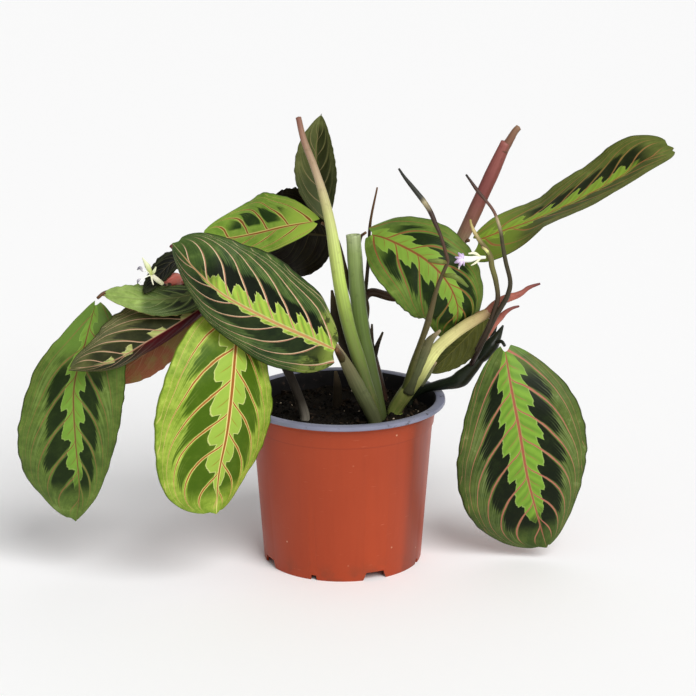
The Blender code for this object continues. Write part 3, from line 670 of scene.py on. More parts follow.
leaf(
    "leaf_hanging_right", tops["classic"], reddish, 7.2,
    rib=[(94, -6, 127), (97, -15, 109), (102, -21, 84), (107, -23, 57), (113, -19, 34), (120, -11, 9)],
    face=[(0, -0.8, 0.5), (0.05, -1, -0.1)], half=(39.8, 41.2), fold=((-5, -18), (-5, -18)),
    skew=(0.84, 1.5), blunt=(0.63, 0.39), lobes=(6, 6),
)
leaf(
    "leaf_small_right", tops["green"], olive, 7.0,
    rib=[(83, 12, 143), (72, 11, 130), (52, 9, 110)],
    face=[(0, 0.8, -0.3), (0, 0.8, -0.3)], half=(11, 11), fold=((0, -10), (0, -10)),
    size=0.6,
)
leaf(
    "leaf_pale_left", tops["pale"], reddish, 7.0,
    rib=[(-77, -38, 172), (-90, -42, 169), (-107, -48, 169), (-131, -53, 172.4)],
    face=[(0, -0.8, 0.6), (0, -0.6, 0.8)], half=(11.5, 9.5), fold=((0, 0), (0, 0)), skew=(0.65, 1.3),
    blunt=(0.6, 0.35), size=0.6, crinkle=1.6,
)
leaf(
    "leaf_small_left", tops["withered"], shaded_underside, 8.0,
    rib=[(-86, -30, 188), (-95, -34, 187), (-102, -39, 181), (-109.4, -48.6, 173.6)],
    face=[(0, -0.8, 0.6), (-0.4, -0.8, 0.3)], half=(5, 8), fold=((0, -30), (0, -20)), skew=(0.8, 0.8),
    blunt=(0.5, 0.5), size=0.6,
)

# ---------------------------------------------------------------- stem materials


def stem_skin(name, stops, shade, roughness=0.42):
    """A stem with fine lengthwise fibres, whose colour changes along it as stops say: {place: colour}."""
    skin = Material(name, specular=0.2)
    round_it, along = skin.map("stem")
    place = skin.place()
    fibres = skin.noise(skin.vector(round_it * 22.0, along * 1.4), 1.0, 3.0, 0.7)
    spots = skin.noise(place, 260.0, 3.0, 0.6)
    colour = (along + skin.noise(place, 60.0, 2.0).swing(0.08)).ramp(stops)
    colour = skin.mix(fibres.step(0.35, 0.75) * 0.45, colour, shade)
    colour = skin.mix(spots.step(0.55, 0.75) * 0.35, colour, shade)
    return skin.finish(colour, spots.swing(0.2) + roughness, fibres * 0.7 + spots * 0.5, 0.15 * MM, 0.6)


def petal_skin(name, inner, outer):
    """A thin petal or filament, from its inner colour at the foot to its outer one, with faint lines."""
    skin = Material(name, specular=0.3)
    round_it, along = skin.map("stem")
    lines = skin.noise(skin.vector(round_it * 9.0, along * 1.5), 1.0, 2.0)
    colour = skin.mix(along.step(0.1, 0.8), inner, outer)
    colour = skin.mix(lines.step(0.5, 0.7) * 0.3, colour, outer)
    return skin.finish(colour, 0.5, lines, 0.1 * MM, 0.4)


# Each stem's colours from its foot at 0 to its tip at 1, its fibres' colour, and its roughness if unusual.
STEM_SKINS = {
    "tall_stem": (
        {0.0: "#3a4224", 0.22: "#52622e", 0.38: "#7e9642", 0.50: "#b6ce62", 0.64: "#ccd882", 0.80: "#bca686",
         1.0: "#86544c"},
        "#6e643e",
    ),
    "cut_stem": ({0.0: "#32361e", 0.3: "#4a582a", 0.6: "#667c3a", 0.9: "#8c9e60", 1.0: "#acb888"}, "#46502a"),
    "front_sheath": ({0.0: "#42442c", 0.5: "#5c623e", 0.85: "#706a4a", 1.0: "#ac9678"}, "#343222", 0.55),
    # dry sheaths: a brown sheath darkened to near-black, partly painted shade where they stand in shadow
    "dry_sheath": ({0.0: "#282016", 0.7: "#342c1e", 1.0: "#60523c"}, "#14100c", 0.7),
    "leaf_stalk": ({0.0: "#464022", 0.6: "#4c3c26", 1.0: "#6e4c30"}, "#221a12"),
    "trailing_stem": (
        {0.0: "#848076", 0.12: "#787266", 0.24: "#38322a", 0.7: "#2c241e", 1.0: "#4e2022"},
        "#181412", 0.6,
    ),
    "wine_stalk": ({0.0: "#280e12", 0.5: "#56181e", 1.0: "#682224"}, "#280c0e", 0.35),
    "pink_stem": (
        {0.0: "#2e281c", 0.5: "#463828", 0.66: "#8c8462", 0.74: "#967460", 0.84: "#844a46", 1.0: "#965a52"},
        "#6c3c36",
    ),
    "stem_nub": ({0.0: "#7e5246", 1.0: "#8c6c54"}, "#604632"),
    "cream_shoot": (
        {0.0: "#526828", 0.2: "#647034", 0.4: "#8c9052", 0.54: "#e8ea96", 0.75: "#ded692", 1.0: "#a48462"},
        "#968c54",
    ),
    "pink_bract": ({0.0: "#8c5c4a", 0.5: "#b26856", 1.0: "#60302e"}, "#6e3836"),
    "flower_stalk": (
        {0.0: "#545c2c", 0.4: "#605434", 0.58: "#5c4e34", 0.64: "#563c2e", 0.8: "#3e302a", 0.845: "#b0a480",
         0.87: "#3a3c34", 1.0: "#282a24"},
        "#2c261e",
    ),
    "green_bract": ({0.0: "#60542c", 0.3: "#76863a", 1.0: "#607432"}, "#463c20"),
    "pink_bud": ({0.0: "#964236", 0.4: "#d68274", 1.0: "#c45448"}, "#cea08c"),
    "short_flower_stalk": (
        {0.0: "#2e221c", 0.45: "#423428", 0.62: "#706e3e", 0.82: "#746842", 0.92: "#cebc80", 1.0: "#b0a45c"},
        "#3a321e",
    ),
    "dark_stem": ({0.0: "#1a2018", 0.5: "#1e261a", 0.8: "#282c1e", 1.0: "#1e2218"}, "#0e100c", 0.32),
    "thin_flower_stalk": (
        {0.0: "#2e201c", 0.4: "#3a3426", 0.7: "#4c4832", 0.765: "#beac86", 0.79: "#765446", 0.88: "#5c4036",
         1.0: "#282622"},
        "#281e1a",
    ),
}
PETAL_SKINS = {
    "lilac_petal": ("#f4eef8", "#d0b8de"),
    "flower_tube": ("#ececdc", "#fafaf6"),
    "flower_sepal": ("#c4ce78", "#e4e8be"),
    # whitish petals that grey towards the tip: the grey is painted shadow
    "faded_petal": ("#cecace", "#787480"),
    "stamen": ("#ececbe", "#f4f0d6"),
}
SKINS = {name: stem_skin(name, *look) for name, look in STEM_SKINS.items()}
SKINS.update({name: petal_skin(name, *look) for name, look in PETAL_SKINS.items()})

# ---------------------------------------------------------------- stems


def rings_of(points, radii, spacing):
    """Centres, radii and a turned frame for each ring along a path."""
    length = smooth_path(points, [0, 1])[1]
    count = max(6, round(length / spacing))
    stations = np.linspace(0, 1, count + 1)
    centres = smooth_path(points, stations)[0]
    sizes = np.interp(stations, np.linspace(0, 1, len(radii)), radii)
    ahead = unit(np.gradient(centres, axis=0))
    side = np.cross(ahead[0], [0.3, 1, 0.2])
    sides = []
    for direction in ahead:
        side = side - (side * direction).sum() * direction
        side = side / np.linalg.norm(side)
        sides.append(side)
    sides = np.array(sides)
    return stations, centres, sizes, sides, np.cross(ahead, sides), ahead


# The bore of a hollow stem, from its cut end down: rings below the end, part of the radius, place in the map.
BORE = ((0, 0.74, 1.0), (1, 0.70, 0.98), (3, 0.68, 0.9), (6, 0.60, 0.8))


def add_tube(build, layer, points, radii, skin, sides=20, spacing=1.6, ridge=0.03, flat=1.0, hollow=False):
    """Adds one closed stem to a mesh in the making. flat thins it towards its end, as on a sheath."""
    stations, centres, sizes, right, up, ahead = rings_of(points, radii, spacing)
    turns = np.arange(sides) / sides * 2 * math.pi
    phase = points[0][0] * 0.7 + points[-1][2] * 0.3

    def ring(index, lumps, wide, high):
        along_right = np.outer(np.cos(turns) * lumps * sizes[index] * wide, right[index])
        along_up = np.outer(np.sin(turns) * lumps * sizes[index] * high, up[index])
        return [build.verts.new(spot * MM) for spot in centres[index] + along_right + along_up]

    def face(corners, marks):
        made = build.faces.new(corners)
        made.material_index = skin
        made.smooth = True
        for loop, mark in zip(made.loops, marks):
            loop[layer].uv = mark

    rings = []
    for index, place in enumerate(stations):
        lumps = 1 + ridge * np.sin(3 * turns + phase + 2 * place) + 0.5 * ridge * np.sin(7 * turns - phase)
        lumps = lumps * (1 + 0.02 * math.sin(place * 40 + phase))
        rings.append(ring(index, lumps, 1.0, 1 - (1 - flat) * place**1.5))
    places = list(stations)
    last = len(stations) - 1
    if hollow:
        for below, inset, place in BORE:
            rings.append(ring(last - below, 1.0, inset, inset))
            places.append(place)

    for lower, upper, low, high in zip(rings, rings[1:], places, places[1:]):
        for turn in range(sides):
            after = (turn + 1) % sides
            near, far = turn / sides, (turn + 1) / sides
            corners = (lower[turn], lower[after], upper[after], upper[turn])
            face(corners, ((near, low), (far, low), (far, high), (near, high)))
    end = last - BORE[-1][0] if hollow else last
    caps = ((rings[0], 0.0, 0, -0.3), (rings[-1], places[-1], end, -0.3 if hollow else 0.3))
    for edge, place, index, push in caps:
        tip = build.verts.new((centres[index] + ahead[index] * push * sizes[index]) * MM)
        for turn in range(sides):
            pair = (edge[turn], edge[(turn + 1) % sides])
            pair = pair if index else pair[::-1]
            face((*pair, tip), ((turn / sides, place), ((turn + 1) / sides, place), (turn / sides, place)))


def stems(node, tubes):
    """All the stems of one node. Each tube is a skin, a path, radii along it, and any options of add_tube."""
    build = bmesh.new()
    layer = build.loops.layers.uv.new("stem")
    used = list(dict.fromkeys(tube[0] for tube in tubes))
    for skin, points, radii, *options in tubes:
        add_tube(build, layer, points, radii, used.index(skin), **dict(*options))
    bmesh.ops.recalc_face_normals(build, faces=build.faces)
    mesh = bpy.data.meshes.new(node + "_fine")
    build.to_mesh(mesh)
    build.free()
    for skin in used:
        mesh.materials.append(SKINS[skin])
    thing = placed(node + "_fine", mesh)
    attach(thing, "root")
    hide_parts(node)


STEM_FOOT = 79.5
SOIL_TOP = 88.0


def rooted(foot, *rest):
    """A stem path that goes straight up out of its hole in the soil before it leans."""
    x, y = foot
    return [(x, y, STEM_FOOT), (x, y, SOIL_TOP - 2), (x, y, SOIL_TOP + 4), *rest]


THIN = {"sides": 12}
stems("left_stem", [
    ("trailing_stem", rooted((-22, -16), (-26, -18, 105), (-34, -22, 125), (-46, -27, 145), (-55, -31, 163)),
        [2.9, 2.8, 2.7, 2.6, 2.5, 2.3, 2.2]),
    ("leaf_stalk", [(-54, -30, 161), (-66, -24, 170), (-80, -22, 172), (-100, -24, 171), (-120, -28, 170),
        (-133, -32, 169), (-137.9, -34.4, 166)], [2.0, 1.8, 1.7, 1.6, 1.4, 1.2, 0.9], THIN),
    ("wine_stalk", [(-53, -30, 159), (-58, -32, 167), (-62, -33.4, 170)], [2.0, 1.8, 1.3], THIN),
    ("wine_stalk", [(-53, -29, 158), (-61, -27, 165), (-67, -26, 166.6), (-69.6, -26, 165.4)],
        [1.8, 1.4, 1.1, 0.8], THIN),
    ("leaf_stalk", [(-48, -28, 148), (-51, -35, 160), (-55, -41, 164.6), (-56.6, -44.2, 163.4)],
        [1.8, 1.5, 1.2, 0.9], THIN),
    ("leaf_stalk", [(-55, -31, 163), (-61, -37, 171), (-68, -39, 174.4), (-74.2, -38.6, 173.4)],
        [1.4, 1.2, 1.1, 0.9], THIN),
    ("leaf_stalk", [(-78, -22, 171.5), (-81, -24, 178), (-84.4, -28.5, 185.4)], [1.3, 1.1, 0.8], THIN),
    ("pink_bract", [(-78, -22, 171), (-84, -21, 181), (-90, -21, 187), (-97, -22, 193.6)],
        [1.2, 1.2, 1.2, 1.1], THIN),
    ("pink_bud", [(-90, -22.5, 172), (-93, -28, 174.6), (-95, -32.5, 176.4), (-97.2, -36, 176.8),
        (-100, -38, 175.6)], [1.0, 2.0, 4.2, 4.0, 0.9]),
    ("thin_flower_stalk", [(-96, -36, 175), (-98, -41.5, 175.6), (-99.6, -44.2, 176.6)], [1.0, 0.8, 0.7],
        THIN),
])
stems("centre_stems", [
    ("tall_stem", rooted((19, -18), (12, -20, 117), (4, -19, 143), (-1, -16, 166), (-4, -12, 185),
        (-7, -8, 203), (-11, -4, 219), (-16, 0, 234), (-22, 5, 249), (-25, 9, 261)),
        [3.4, 3.4, 3.6, 3.8, 3.8, 3.8, 3.6, 3.2, 2.7, 2.2, 1.9, 1.6], {"ridge": 0.05}),
    ("cut_stem", rooted((21, -12), (16, -9, 116), (11, -6, 140), (8.5, -4, 163), (6.2, -2, 195)),
        [4.0, 4.4, 4.6, 4.5, 4.2], {"hollow": True, "sides": 28}),
    ("front_sheath", rooted((18, -24), (8, -29, 114), (2, -32, 127), (-4, -35, 139)),
        [3.8, 4.0, 4.2, 4.2, 3.4, 2.0], {"flat": 0.5}),
    ("dry_sheath", [(8, -15, 122), (0, -10, 136), (-4, -9, 150), (-6, -9, 164)], [3.4, 3.6, 3.2, 0.8],
        {"flat": 0.4}),
    ("leaf_stalk", [(0, -33, 130), (-2, -38, 135), (-3.4, -43.4, 138.6)], [2.4, 2.0, 1.2], THIN),
    ("leaf_stalk", [(12, -5, 140), (14, 3, 150), (11, 4, 164), (9.6, 6, 182), (10.4, 7.4, 191),
        (13.3, 3.4, 195)], [1.8, 1.8, 1.6, 1.4, 1.1, 0.8], THIN),
    ("leaf_stalk", [(9, -4, 150), (5, 2, 160), (1, 2, 176), (-3, 9, 189), (-8.4, 18, 196.6)],
        [1.6, 1.5, 1.4, 1.2, 0.9], THIN),
    ("leaf_stalk", [(-6, -10, 197), (-9, -7.6, 201.6), (-11.8, -5.8, 202.8)], [1.4, 1.1, 0.9], THIN),
    ("leaf_stalk", [(-3, -13, 181), (-6, 0, 185), (-6, 12, 187), (-5.4, 24.4, 187.5)], [1.5, 1.4, 1.3, 0.9],
        THIN),
])
stems("back_stem", [
    ("pink_stem", rooted((24, 20), (18, 20, 116), (12, 20, 143), (16, 20, 155), (34, 22, 152), (57, 22, 165),
        (70.8, 20, 191), (82.4, 18, 218), (93.8, 16, 245)),
        [2.5, 2.5, 2.5, 2.5, 2.6, 2.6, 3.0, 3.8, 4.1, 4.0, 3.2]),
    ("stem_nub", [(92.2, 16, 240), (96.0, 16, 246.6), (98.8, 16, 251.6), (101, 16, 254)],
        [2.9, 2.5, 2.1, 1.8], THIN),
    ("leaf_stalk", [(69, 20, 186), (72, 18.2, 186.8), (73.6, 17.1, 187)], [1.8, 1.4, 0.9], THIN),
    ("dry_sheath", [(23.5, 20, 92), (17.5, 17, 113), (17, 14, 126), (17.2, 12, 138)], [2.3, 2.4, 1.8, 0.6],
        THIN),
    ("dry_sheath", [(17.5, 17, 111), (20, 15, 123), (23.6, 15, 132.4)], [2.0, 1.6, 0.6], THIN),
    ("leaf_stalk", [(12.5, 20, 146), (15, 16, 175), (16, 12, 198), (20, 10, 220)], [1.3, 1.1, 0.9, 0.5],
        THIN),
])
stems("right_shoot", [
    ("cream_shoot", rooted((31, -4), (43, -10, 112), (54, -13, 130), (68, -15, 143), (84, -16, 153)),
        [4.2, 4.4, 4.4, 4.0, 3.5, 3.3, 2.8], {"ridge": 0.05}),
    ("pink_bract", [(82, -16, 152), (88, -16, 157.6), (93.7, -16, 161), (99.4, -16, 162.8),
        (103.2, -15.5, 164.8), (105.4, -15, 166.6), (108.9, -14.5, 168.1), (112.8, -14, 169.2)],
        [2.4, 2.6, 2.6, 2.5, 2.0, 1.4, 1.1, 0.6], {"flat": 0.5}),
    ("front_sheath", [(38, -9, 103), (44, -14, 122), (50, -17, 136), (56, -19, 143)], [3.6, 3.8, 3.4, 0.7],
        {"flat": 0.4}),
    ("front_sheath", [(44, -8, 108), (50, -8, 116), (54, -8, 121)], [3.4, 2.8, 0.8], {"flat": 0.5}),
    ("pink_bract", [(74, -15, 147), (78, -14, 151), (81, -13, 153)], [2.2, 2.0, 0.8], THIN),
    ("flower_stalk", [(36, -8, 103), (42, -20, 128), (48, -32, 150), (52.8, -39, 172), (56.7, -41, 183.5),
        (58.7, -42, 189.3), (57.5, -41, 194.5), (54.9, -39, 203), (51.9, -37, 209.8), (48.9, -35, 216.4),
        (45.4, -33, 221.5), (43.1, -32, 224.3), (38.9, -29.5, 229.1), (34.7, -27, 234), (31.6, -24, 238.2)],
        [2.4, 2.2, 2.0, 1.7, 1.7, 2.0, 1.5, 1.2, 1.1, 1.0, 1.0, 1.4, 1.6, 1.2, 0.6], THIN),
    ("green_bract", [(58.5, -42, 188.6), (53.1, -43.4, 189.9), (47.8, -43.4, 190.1)], [1.0, 1.5, 0.7], THIN),
    ("green_bract", [(56.4, -41, 181), (61.4, -43.4, 181.4), (65.5, -43.6, 179.2), (70.3, -42, 174.7)],
        [1.0, 1.6, 1.5, 0.6], THIN),
])
stems("hanging_stem", [
    ("dark_stem", rooted((40, 16), (47, 13, 98), (56, 8, 102), (67, 4, 106), (75, 3, 113.4), (82, 4, 121.4),
        (88, 4, 128), (92, 0, 131), (93.8, -4.2, 129.6)), [2.4, 2.6, 2.7, 2.7, 3.4, 5.0, 3.6, 2.0, 1.3, 0.9]),
    ("dark_stem", [(79, 4, 118), (84, 4.5, 124), (88, 5.5, 129), (91, 6, 134), (93.4, 6, 139)],
        [2.8, 4.4, 4.2, 2.2, 0.5], {"flat": 0.8}),
    ("thin_flower_stalk", [(75, 1, 117), (79, -11, 130), (86.6, -22, 150.6), (90.8, -22.5, 158.6),
        (93.7, -23, 164.6), (95.1, -23, 172.7), (92.5, -22, 183.6), (90.6, -21, 193.2), (89.3, -20, 201.5),
        (86.9, -18.5, 209.1), (84.5, -17.5, 213.8), (79.7, -16.5, 219.7), (76.1, -15.5, 223.9),
        (69.7, -14, 232.7)], [1.6, 1.5, 1.4, 1.4, 1.3, 1.5, 1.4, 1.3, 1.2, 1.1, 0.9, 0.9, 1.1, 0.6], THIN),
    ("short_flower_stalk", [(77, -11, 129), (83, -20, 145), (86.5, -22.5, 156), (88.2, -23, 163.9),
        (86.8, -23, 173.7), (84.6, -23, 181.5), (83.8, -23, 186.3), (81.6, -22.5, 191.1), (77.4, -22, 196.5),
        (74.5, -21, 201.2), (72.7, -20, 205.2), (72.2, -19.5, 208)],
        [1.0, 1.2, 1.3, 1.3, 1.4, 1.4, 1.5, 1.6, 1.7, 1.4, 1.1, 0.6], THIN),
    ("pink_bract", [(80, -13, 134), (86, -16, 145), (90.1, -16, 149.6), (93.2, -16, 152.9),
        (97, -15.5, 155.2), (101, -15, 156.2)], [1.4, 2.2, 2.2, 1.9, 1.1, 0.6], {"flat": 0.5}),
    ("cream_shoot", [(83.4, -23, 187), (81.4, -24, 191), (78.6, -24.4, 193.4)], [1.1, 1.0, 0.6], THIN),
    ("dark_stem", [(80, 5, 120), (88, 9, 133), (89.5, 12, 142), (88, 12.2, 148), (85.4, 12.1, 147)],
        [1.6, 1.3, 1.1, 1.0, 0.8], THIN),
])
stems("sheath_stub", [
    ("dry_sheath", rooted((-3, 12), (-3, 11, 101), (-4, 10, 110)), [3.0, 3.0, 2.8, 2.4, 0.9], {"flat": 0.5}),
])

# ---------------------------------------------------------------- pot

POT_PROFILE = [
    (0.0, 1.4), (23.2, 1.4), (27.4, 6.4), (44.3, 6.6), (45.0, 7.6), (51.2, 81.9), (52.0, 84.2), (52.9, 92.0),
    (53.6, 95.6), (54.6, 97.4), (55.6, 98.0), (58.9, 98.0), (59.8, 97.5), (60.0, 96.6), (60.0, 95.6),
    (59.4, 95.1), (58.4, 96.2), (56.0, 96.5), (55.2, 95.6), (54.6, 92.9), (54.5, 92.4), (54.5, 91.5),
    (54.2, 91.0), (53.3, 83.7), (52.5, 82.3), (46.4, 0.8), (46.1, 0.0), (45.2, 0.0), (44.9, 5.2), (28.6, 5.0),
    (24.5, 0.0), (0.0, 0.0),
]
POT_STEPS = 160
SHOULDER = 82.6 * MM
LIP_UNDERSIDE = 94.9 * MM
LIP_TOP = 97.5 * MM
LIP_RADIUS = 56.0 * MM
FLOOR_TOP = 6.4 * MM
LIP_SLOT, INSIDE_SLOT = 1, 2

# Gaps in the foot, four of each kind a quarter turn apart: first angle, width, width at the top and height.
NOTCHES = ((-66.0, 14.5, 11.0, 4.8), (-21.0, 3.8, 3.0, 3.0))


def applied(thing):
    """The object with its modifiers made real and its faces turned out."""
    graph = bpy.context.evaluated_depsgraph_get()
    mesh = bpy.data.meshes.new_from_object(thing.evaluated_get(graph))
    mesh.transform(thing.matrix_world)
    thing.matrix_world.identity()
    thing.modifiers.clear()
    thing.data = mesh
    build = bmesh.new()
    build.from_mesh(mesh)
    bmesh.ops.remove_doubles(build, verts=build.verts, dist=1e-6)
    bmesh.ops.recalc_face_normals(build, faces=build.faces)
    build.to_mesh(mesh)
    build.free()
    return thing


def turned(name, profile, steps):
    """A solid of revolution about Z, from (radius, height) pairs, shaded smooth."""
    mesh = bpy.data.meshes.new(name)
    points = [(radius * MM, 0.0, height * MM) for radius, height in profile]
    mesh.from_pydata(points, [(index, index + 1) for index in range(len(points) - 1)], [])
    thing = placed(name, mesh)
    screw = thing.modifiers.new("turn", "SCREW")
    screw.angle = 2 * math.pi
    screw.steps = steps
    screw.render_steps = steps
    screw.use_merge_vertices = True
    screw.merge_threshold = 1e-5
    return applied(thing)


def notch(angle, width, top, height):
    """A wedge that cuts one gap with sloped sides into the pot's foot."""
    near, far, below = 41.0, 50.0, -2.0
    low = width / 2 + (width - top) / height * -below / 2
    corners = []
    for radius in (near, far):
        corners += [(radius, -low, below), (radius, low, below)]
        corners += [(radius, top / 2, height), (radius, -top / 2, height)]
    faces = [(3, 2, 1, 0), (4, 5, 6, 7), (0, 1, 5, 4), (1, 2, 6, 5), (2, 3, 7, 6), (3, 0, 4, 7)]
    mesh = bpy.data.meshes.new("notch")
    mesh.from_pydata([tuple(value * MM for value in corner) for corner in corners], [], faces)
    wedge = placed("notch", mesh)
    wedge.rotation_euler.z = math.radians(angle - 90)
    bpy.context.view_layer.update()
    return applied(wedge)


def pot_outside():
    """Terracotta plastic with faint streaks, scratches, pale specks, a smudge and painted dark reflection on
    the front right, and darker patches low down.
    """
    skin = Material("pot_terracotta", specular=0.18)
    place = skin.place()
    x, y, z = skin.parts(place)
    turn = y.math("ARCTAN2", x)
    slow = skin.noise(place, 24.0, 3.0)
    streak = skin.noise(skin.vector(turn * 16.0, z * 22.0), 1.0, 3.0, 0.6)
    scratch = skin.noise(skin.vector(turn * 4.0 + z * 60.0, z * 900.0), 1.0, 2.0, 0.7).step(0.68, 0.76)
    speck = skin.cells(place, 95.0).fall(0.03, 0.07) * slow.step(0.52, 0.6)
    # Patches darker towards the bottom, within 16 mm of the floor.
    darker_low_patches = z.fall(0.0, 0.016) * skin.noise(place, 120.0, 4.0).step(0.45, 0.65)
    # A darker vertical band on the front right: partly a smudge, partly a painted reflection of something
    # dark.
    smudge_and_reflection = turn.step(-0.82, -0.62) * turn.fall(-0.42, -0.2) * (streak * 0.6 + 0.7)
    ring = abs(z - SHOULDER).fall(0.0001, 0.0007)
    colour = skin.mix(slow, "#9c3c20", "#a84526")
    colour = skin.mix(streak.step(0.4, 0.8) * 0.12, colour, "#80321e")
    colour = skin.mix(scratch * 0.25, colour, "#d68c6c")
    colour = skin.mix(speck * 0.6, colour, "#e2b896")
    colour = skin.mix(darker_low_patches * 0.4, colour, "#6e3e2a")
    colour = skin.mix(smudge_and_reflection * 0.42, colour, "#583228")
    colour = skin.mix(ring * 0.4, colour, "#803222")
    height = skin.noise(place, 900.0, 2.0) * 0.4 + streak * 0.6 - scratch * 0.4
    return skin.finish(colour, slow.swing(0.25) + 0.40, height, 0.1 * MM, 0.35)


def pot_lip():
    """The grey rim, scuffed and dusted with soil."""
    skin = Material("pot_lip", specular=0.5)
    place = skin.place()
    scuff = skin.noise(place, 330.0, 4.0, 0.7)
    colour = skin.mix(skin.noise(place, 50.0, 3.0), "#646678", "#8a8ca0")
    worn = scuff.step(0.56, 0.66) * skin.parts(place)[0].step(0.01, 0.05)
    colour = skin.mix(worn * 0.9, colour, "#343236")
    colour = skin.mix(scuff.step(0.62, 0.7) * 0.5, colour, "#464246")
    return skin.finish(colour, 0.42, scuff, 0.12 * MM, 0.4)


def pot_inside_shaded():
    """The inner wall, painted near-black as the shade inside the pot, with dried soil on it."""
    skin = Material("pot_inside_shaded", specular=0.15)
    dirt = skin.noise(skin.place(), 160.0, 4.0, 0.65)
    # Near-black: painted shade on the inner wall; the lighter flecks are dried soil.
    colour = skin.mix(dirt, "#0a0a0a", "#221f20")
    colour = skin.mix(dirt.step(0.6, 0.7) * 0.5, colour, "#58483c")
    return skin.finish(colour, 0.6, dirt, 0.3 * MM, 0.5)


def cut_notches(thing):
    """Cuts every gap of NOTCHES into the pot's foot."""
    for first, width, top, height in NOTCHES:
        for quarter in range(4):
            cutter = notch(first + 90 * quarter, width, top, height)
            cut = thing.modifiers.new("cut", "BOOLEAN")
            cut.operation = "DIFFERENCE"
            cut.solver = "EXACT"
            cut.object = cutter
            bpy.context.view_layer.update()
            applied(thing)
            bpy.data.objects.remove(cutter, do_unlink=True)


pot = turned("pot_fine", POT_PROFILE, POT_STEPS)
cut_notches(pot)
for finish in (pot_outside(), pot_lip(), pot_inside_shaded()):
    pot.data.materials.append(finish)
for face in pot.data.polygons:
    face.use_smooth = True
    middle = face.center
    outward = Vector((middle.x, middle.y, 0)).dot(face.normal)
    radius = math.hypot(middle.x, middle.y)
    if middle.z > LIP_UNDERSIDE and radius > LIP_RADIUS or middle.z > LIP_TOP:
        face.material_index = LIP_SLOT
    elif middle.z > FLOOR_TOP and outward < 0:
        face.material_index = INSIDE_SLOT
pot.data.set_sharp_from_angle(angle=math.radians(38))
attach(pot, "root")
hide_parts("pot")

# ---------------------------------------------------------------- soil

SOIL_RADIUS = 49.5
LUMP_HEIGHT = 1.4
CRUMB_HEIGHT = 0.9


def soil_skin():
    """Damp dark soil, nearly without shine."""
    skin = Material("potting_soil", specular=0.06)
    place = skin.place()
    crumbs = skin.noise(place, 420.0, 5.0, 0.7)
    colour = skin.mix(crumbs, "#050403", "#1e1912")
    colour = skin.mix(skin.noise(place, 90.0, 3.0).step(0.5, 0.7) * 0.5, colour, "#2c241a")
    return skin.finish(colour, 0.92, crumbs, 0.8 * MM, 0.9)


def scrap_skin(name, dark, light):
    """A scrap in the soil, between a dark and a light colour from place to place."""
    skin = Material(name, specular=0.1)
    place = skin.place()
    colour = skin.mix(skin.noise(place, 140.0, 2.0).step(0.35, 0.65), dark, light)
    return skin.finish(colour, 0.85, skin.noise(place, 700.0, 3.0, 0.6), 0.3 * MM, 0.7)


def lump(point):
    """How the soil's surface heaves at a point, from about -1 to 1."""
    return noise.noise(point * 95 + Vector((SEED, 0, 0))) + 0.6 * noise.noise(point * 210)


soil_profile = [(radius, SOIL_TOP) for radius in np.linspace(0, 50.6, 46)]
soil_profile += [(51.7, SOIL_TOP - 2.0), (50.9, 81.6), (44.8, 8.1), (44.0, 7.0)]
soil_profile += [(27.1, 6.9), (22.8, 1.8), (0.0, 1.8)]
soil = turned("soil_fine", soil_profile, 150)
for vertex in soil.data.vertices:
    if vertex.co.z >= (SOIL_TOP - 1) * MM:
        crumb = noise.noise(vertex.co * 480) + 0.6 * noise.noise(vertex.co * 1100)
        vertex.co.z += (LUMP_HEIGHT * lump(vertex.co) + CRUMB_HEIGHT * crumb) * MM
for face in soil.data.polygons:
    face.use_smooth = True
soil.data.materials.append(soil_skin())
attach(soil, "root")
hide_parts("soil")


def scraps(name, count, sizes, stretch, skin, seed):
    """Crumbs and chips of bark scattered over the soil, as one mesh of lumpy stones."""
    rng = np.random.default_rng(seed)
    build = bmesh.new()
    for _ in range(count):
        radius = SOIL_RADIUS * math.sqrt(rng.random())
        turn = rng.random() * 2 * math.pi
        x, y = radius * math.cos(turn), radius * math.sin(turn)
        size = sizes[0] + (sizes[1] - sizes[0]) * rng.random() ** 2
        made = bmesh.ops.create_icosphere(build, subdivisions=1, radius=1.0)["verts"]
        basis = np.linalg.qr(rng.normal(size=(3, 3)))[0]
        shape = size * (0.5 + rng.random(3) * 0.6) * np.array([stretch, 1.0, 0.7])
        level = SOIL_TOP + LUMP_HEIGHT * lump(Vector((x, y, SOIL_TOP)) * MM)
        for vertex in made:
            spot = basis @ (np.array(vertex.co) * shape * (0.75 + 0.5 * rng.random()))
            vertex.co = (spot + [x, y, level + 0.2 * size]) * MM
    mesh = bpy.data.meshes.new(name)
    build.to_mesh(mesh)
    build.free()
    mesh.materials.append(skin)
    thing = placed(name, mesh)
    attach(thing, "root")


scraps("soil_crumbs", 900, (0.5, 1.8), 1.0, scrap_skin("crumb", "#080705", "#1c1813"), 11)
scraps("bark_chips", 110, (0.9, 2.6), 2.2, scrap_skin("bark", "#120e0a", "#34281d"), 12)
scraps("pale_bits", 60, (0.3, 0.8), 1.6, scrap_skin("pale_bit", "#786854", "#baac96"), 13)

# ---------------------------------------------------------------- flowers

FILAMENT = {"sides": 8, "spacing": 0.6}
STRAND = {"sides": 10, "spacing": 0.5}
GREY_PETAL = {**STRAND, "flat": 0.4}
SEPAL = {"sides": 12, "spacing": 0.5, "flat": 0.3}
PETAL = {**SEPAL, "flat": 0.4}
THROAT = {"sides": 14, "spacing": 0.7}
RIGHT_MOUTH = (68, -27, 186.9)
LEFT_MOUTH = (-106, -50, 183.8)
PETAL_BOW = (0, -1.4, 0.4)
PETALS = (
    ((65.2, -28, 190.8), 1.3), ((63.4, -29, 188.4), 1.1), ((63.2, -29, 185.2), 1.4),
    ((65.6, -29, 182.8), 1.0), ((68.4, -29, 183.6), 0.8), ((67.6, -28, 190.4), 1.0),
)


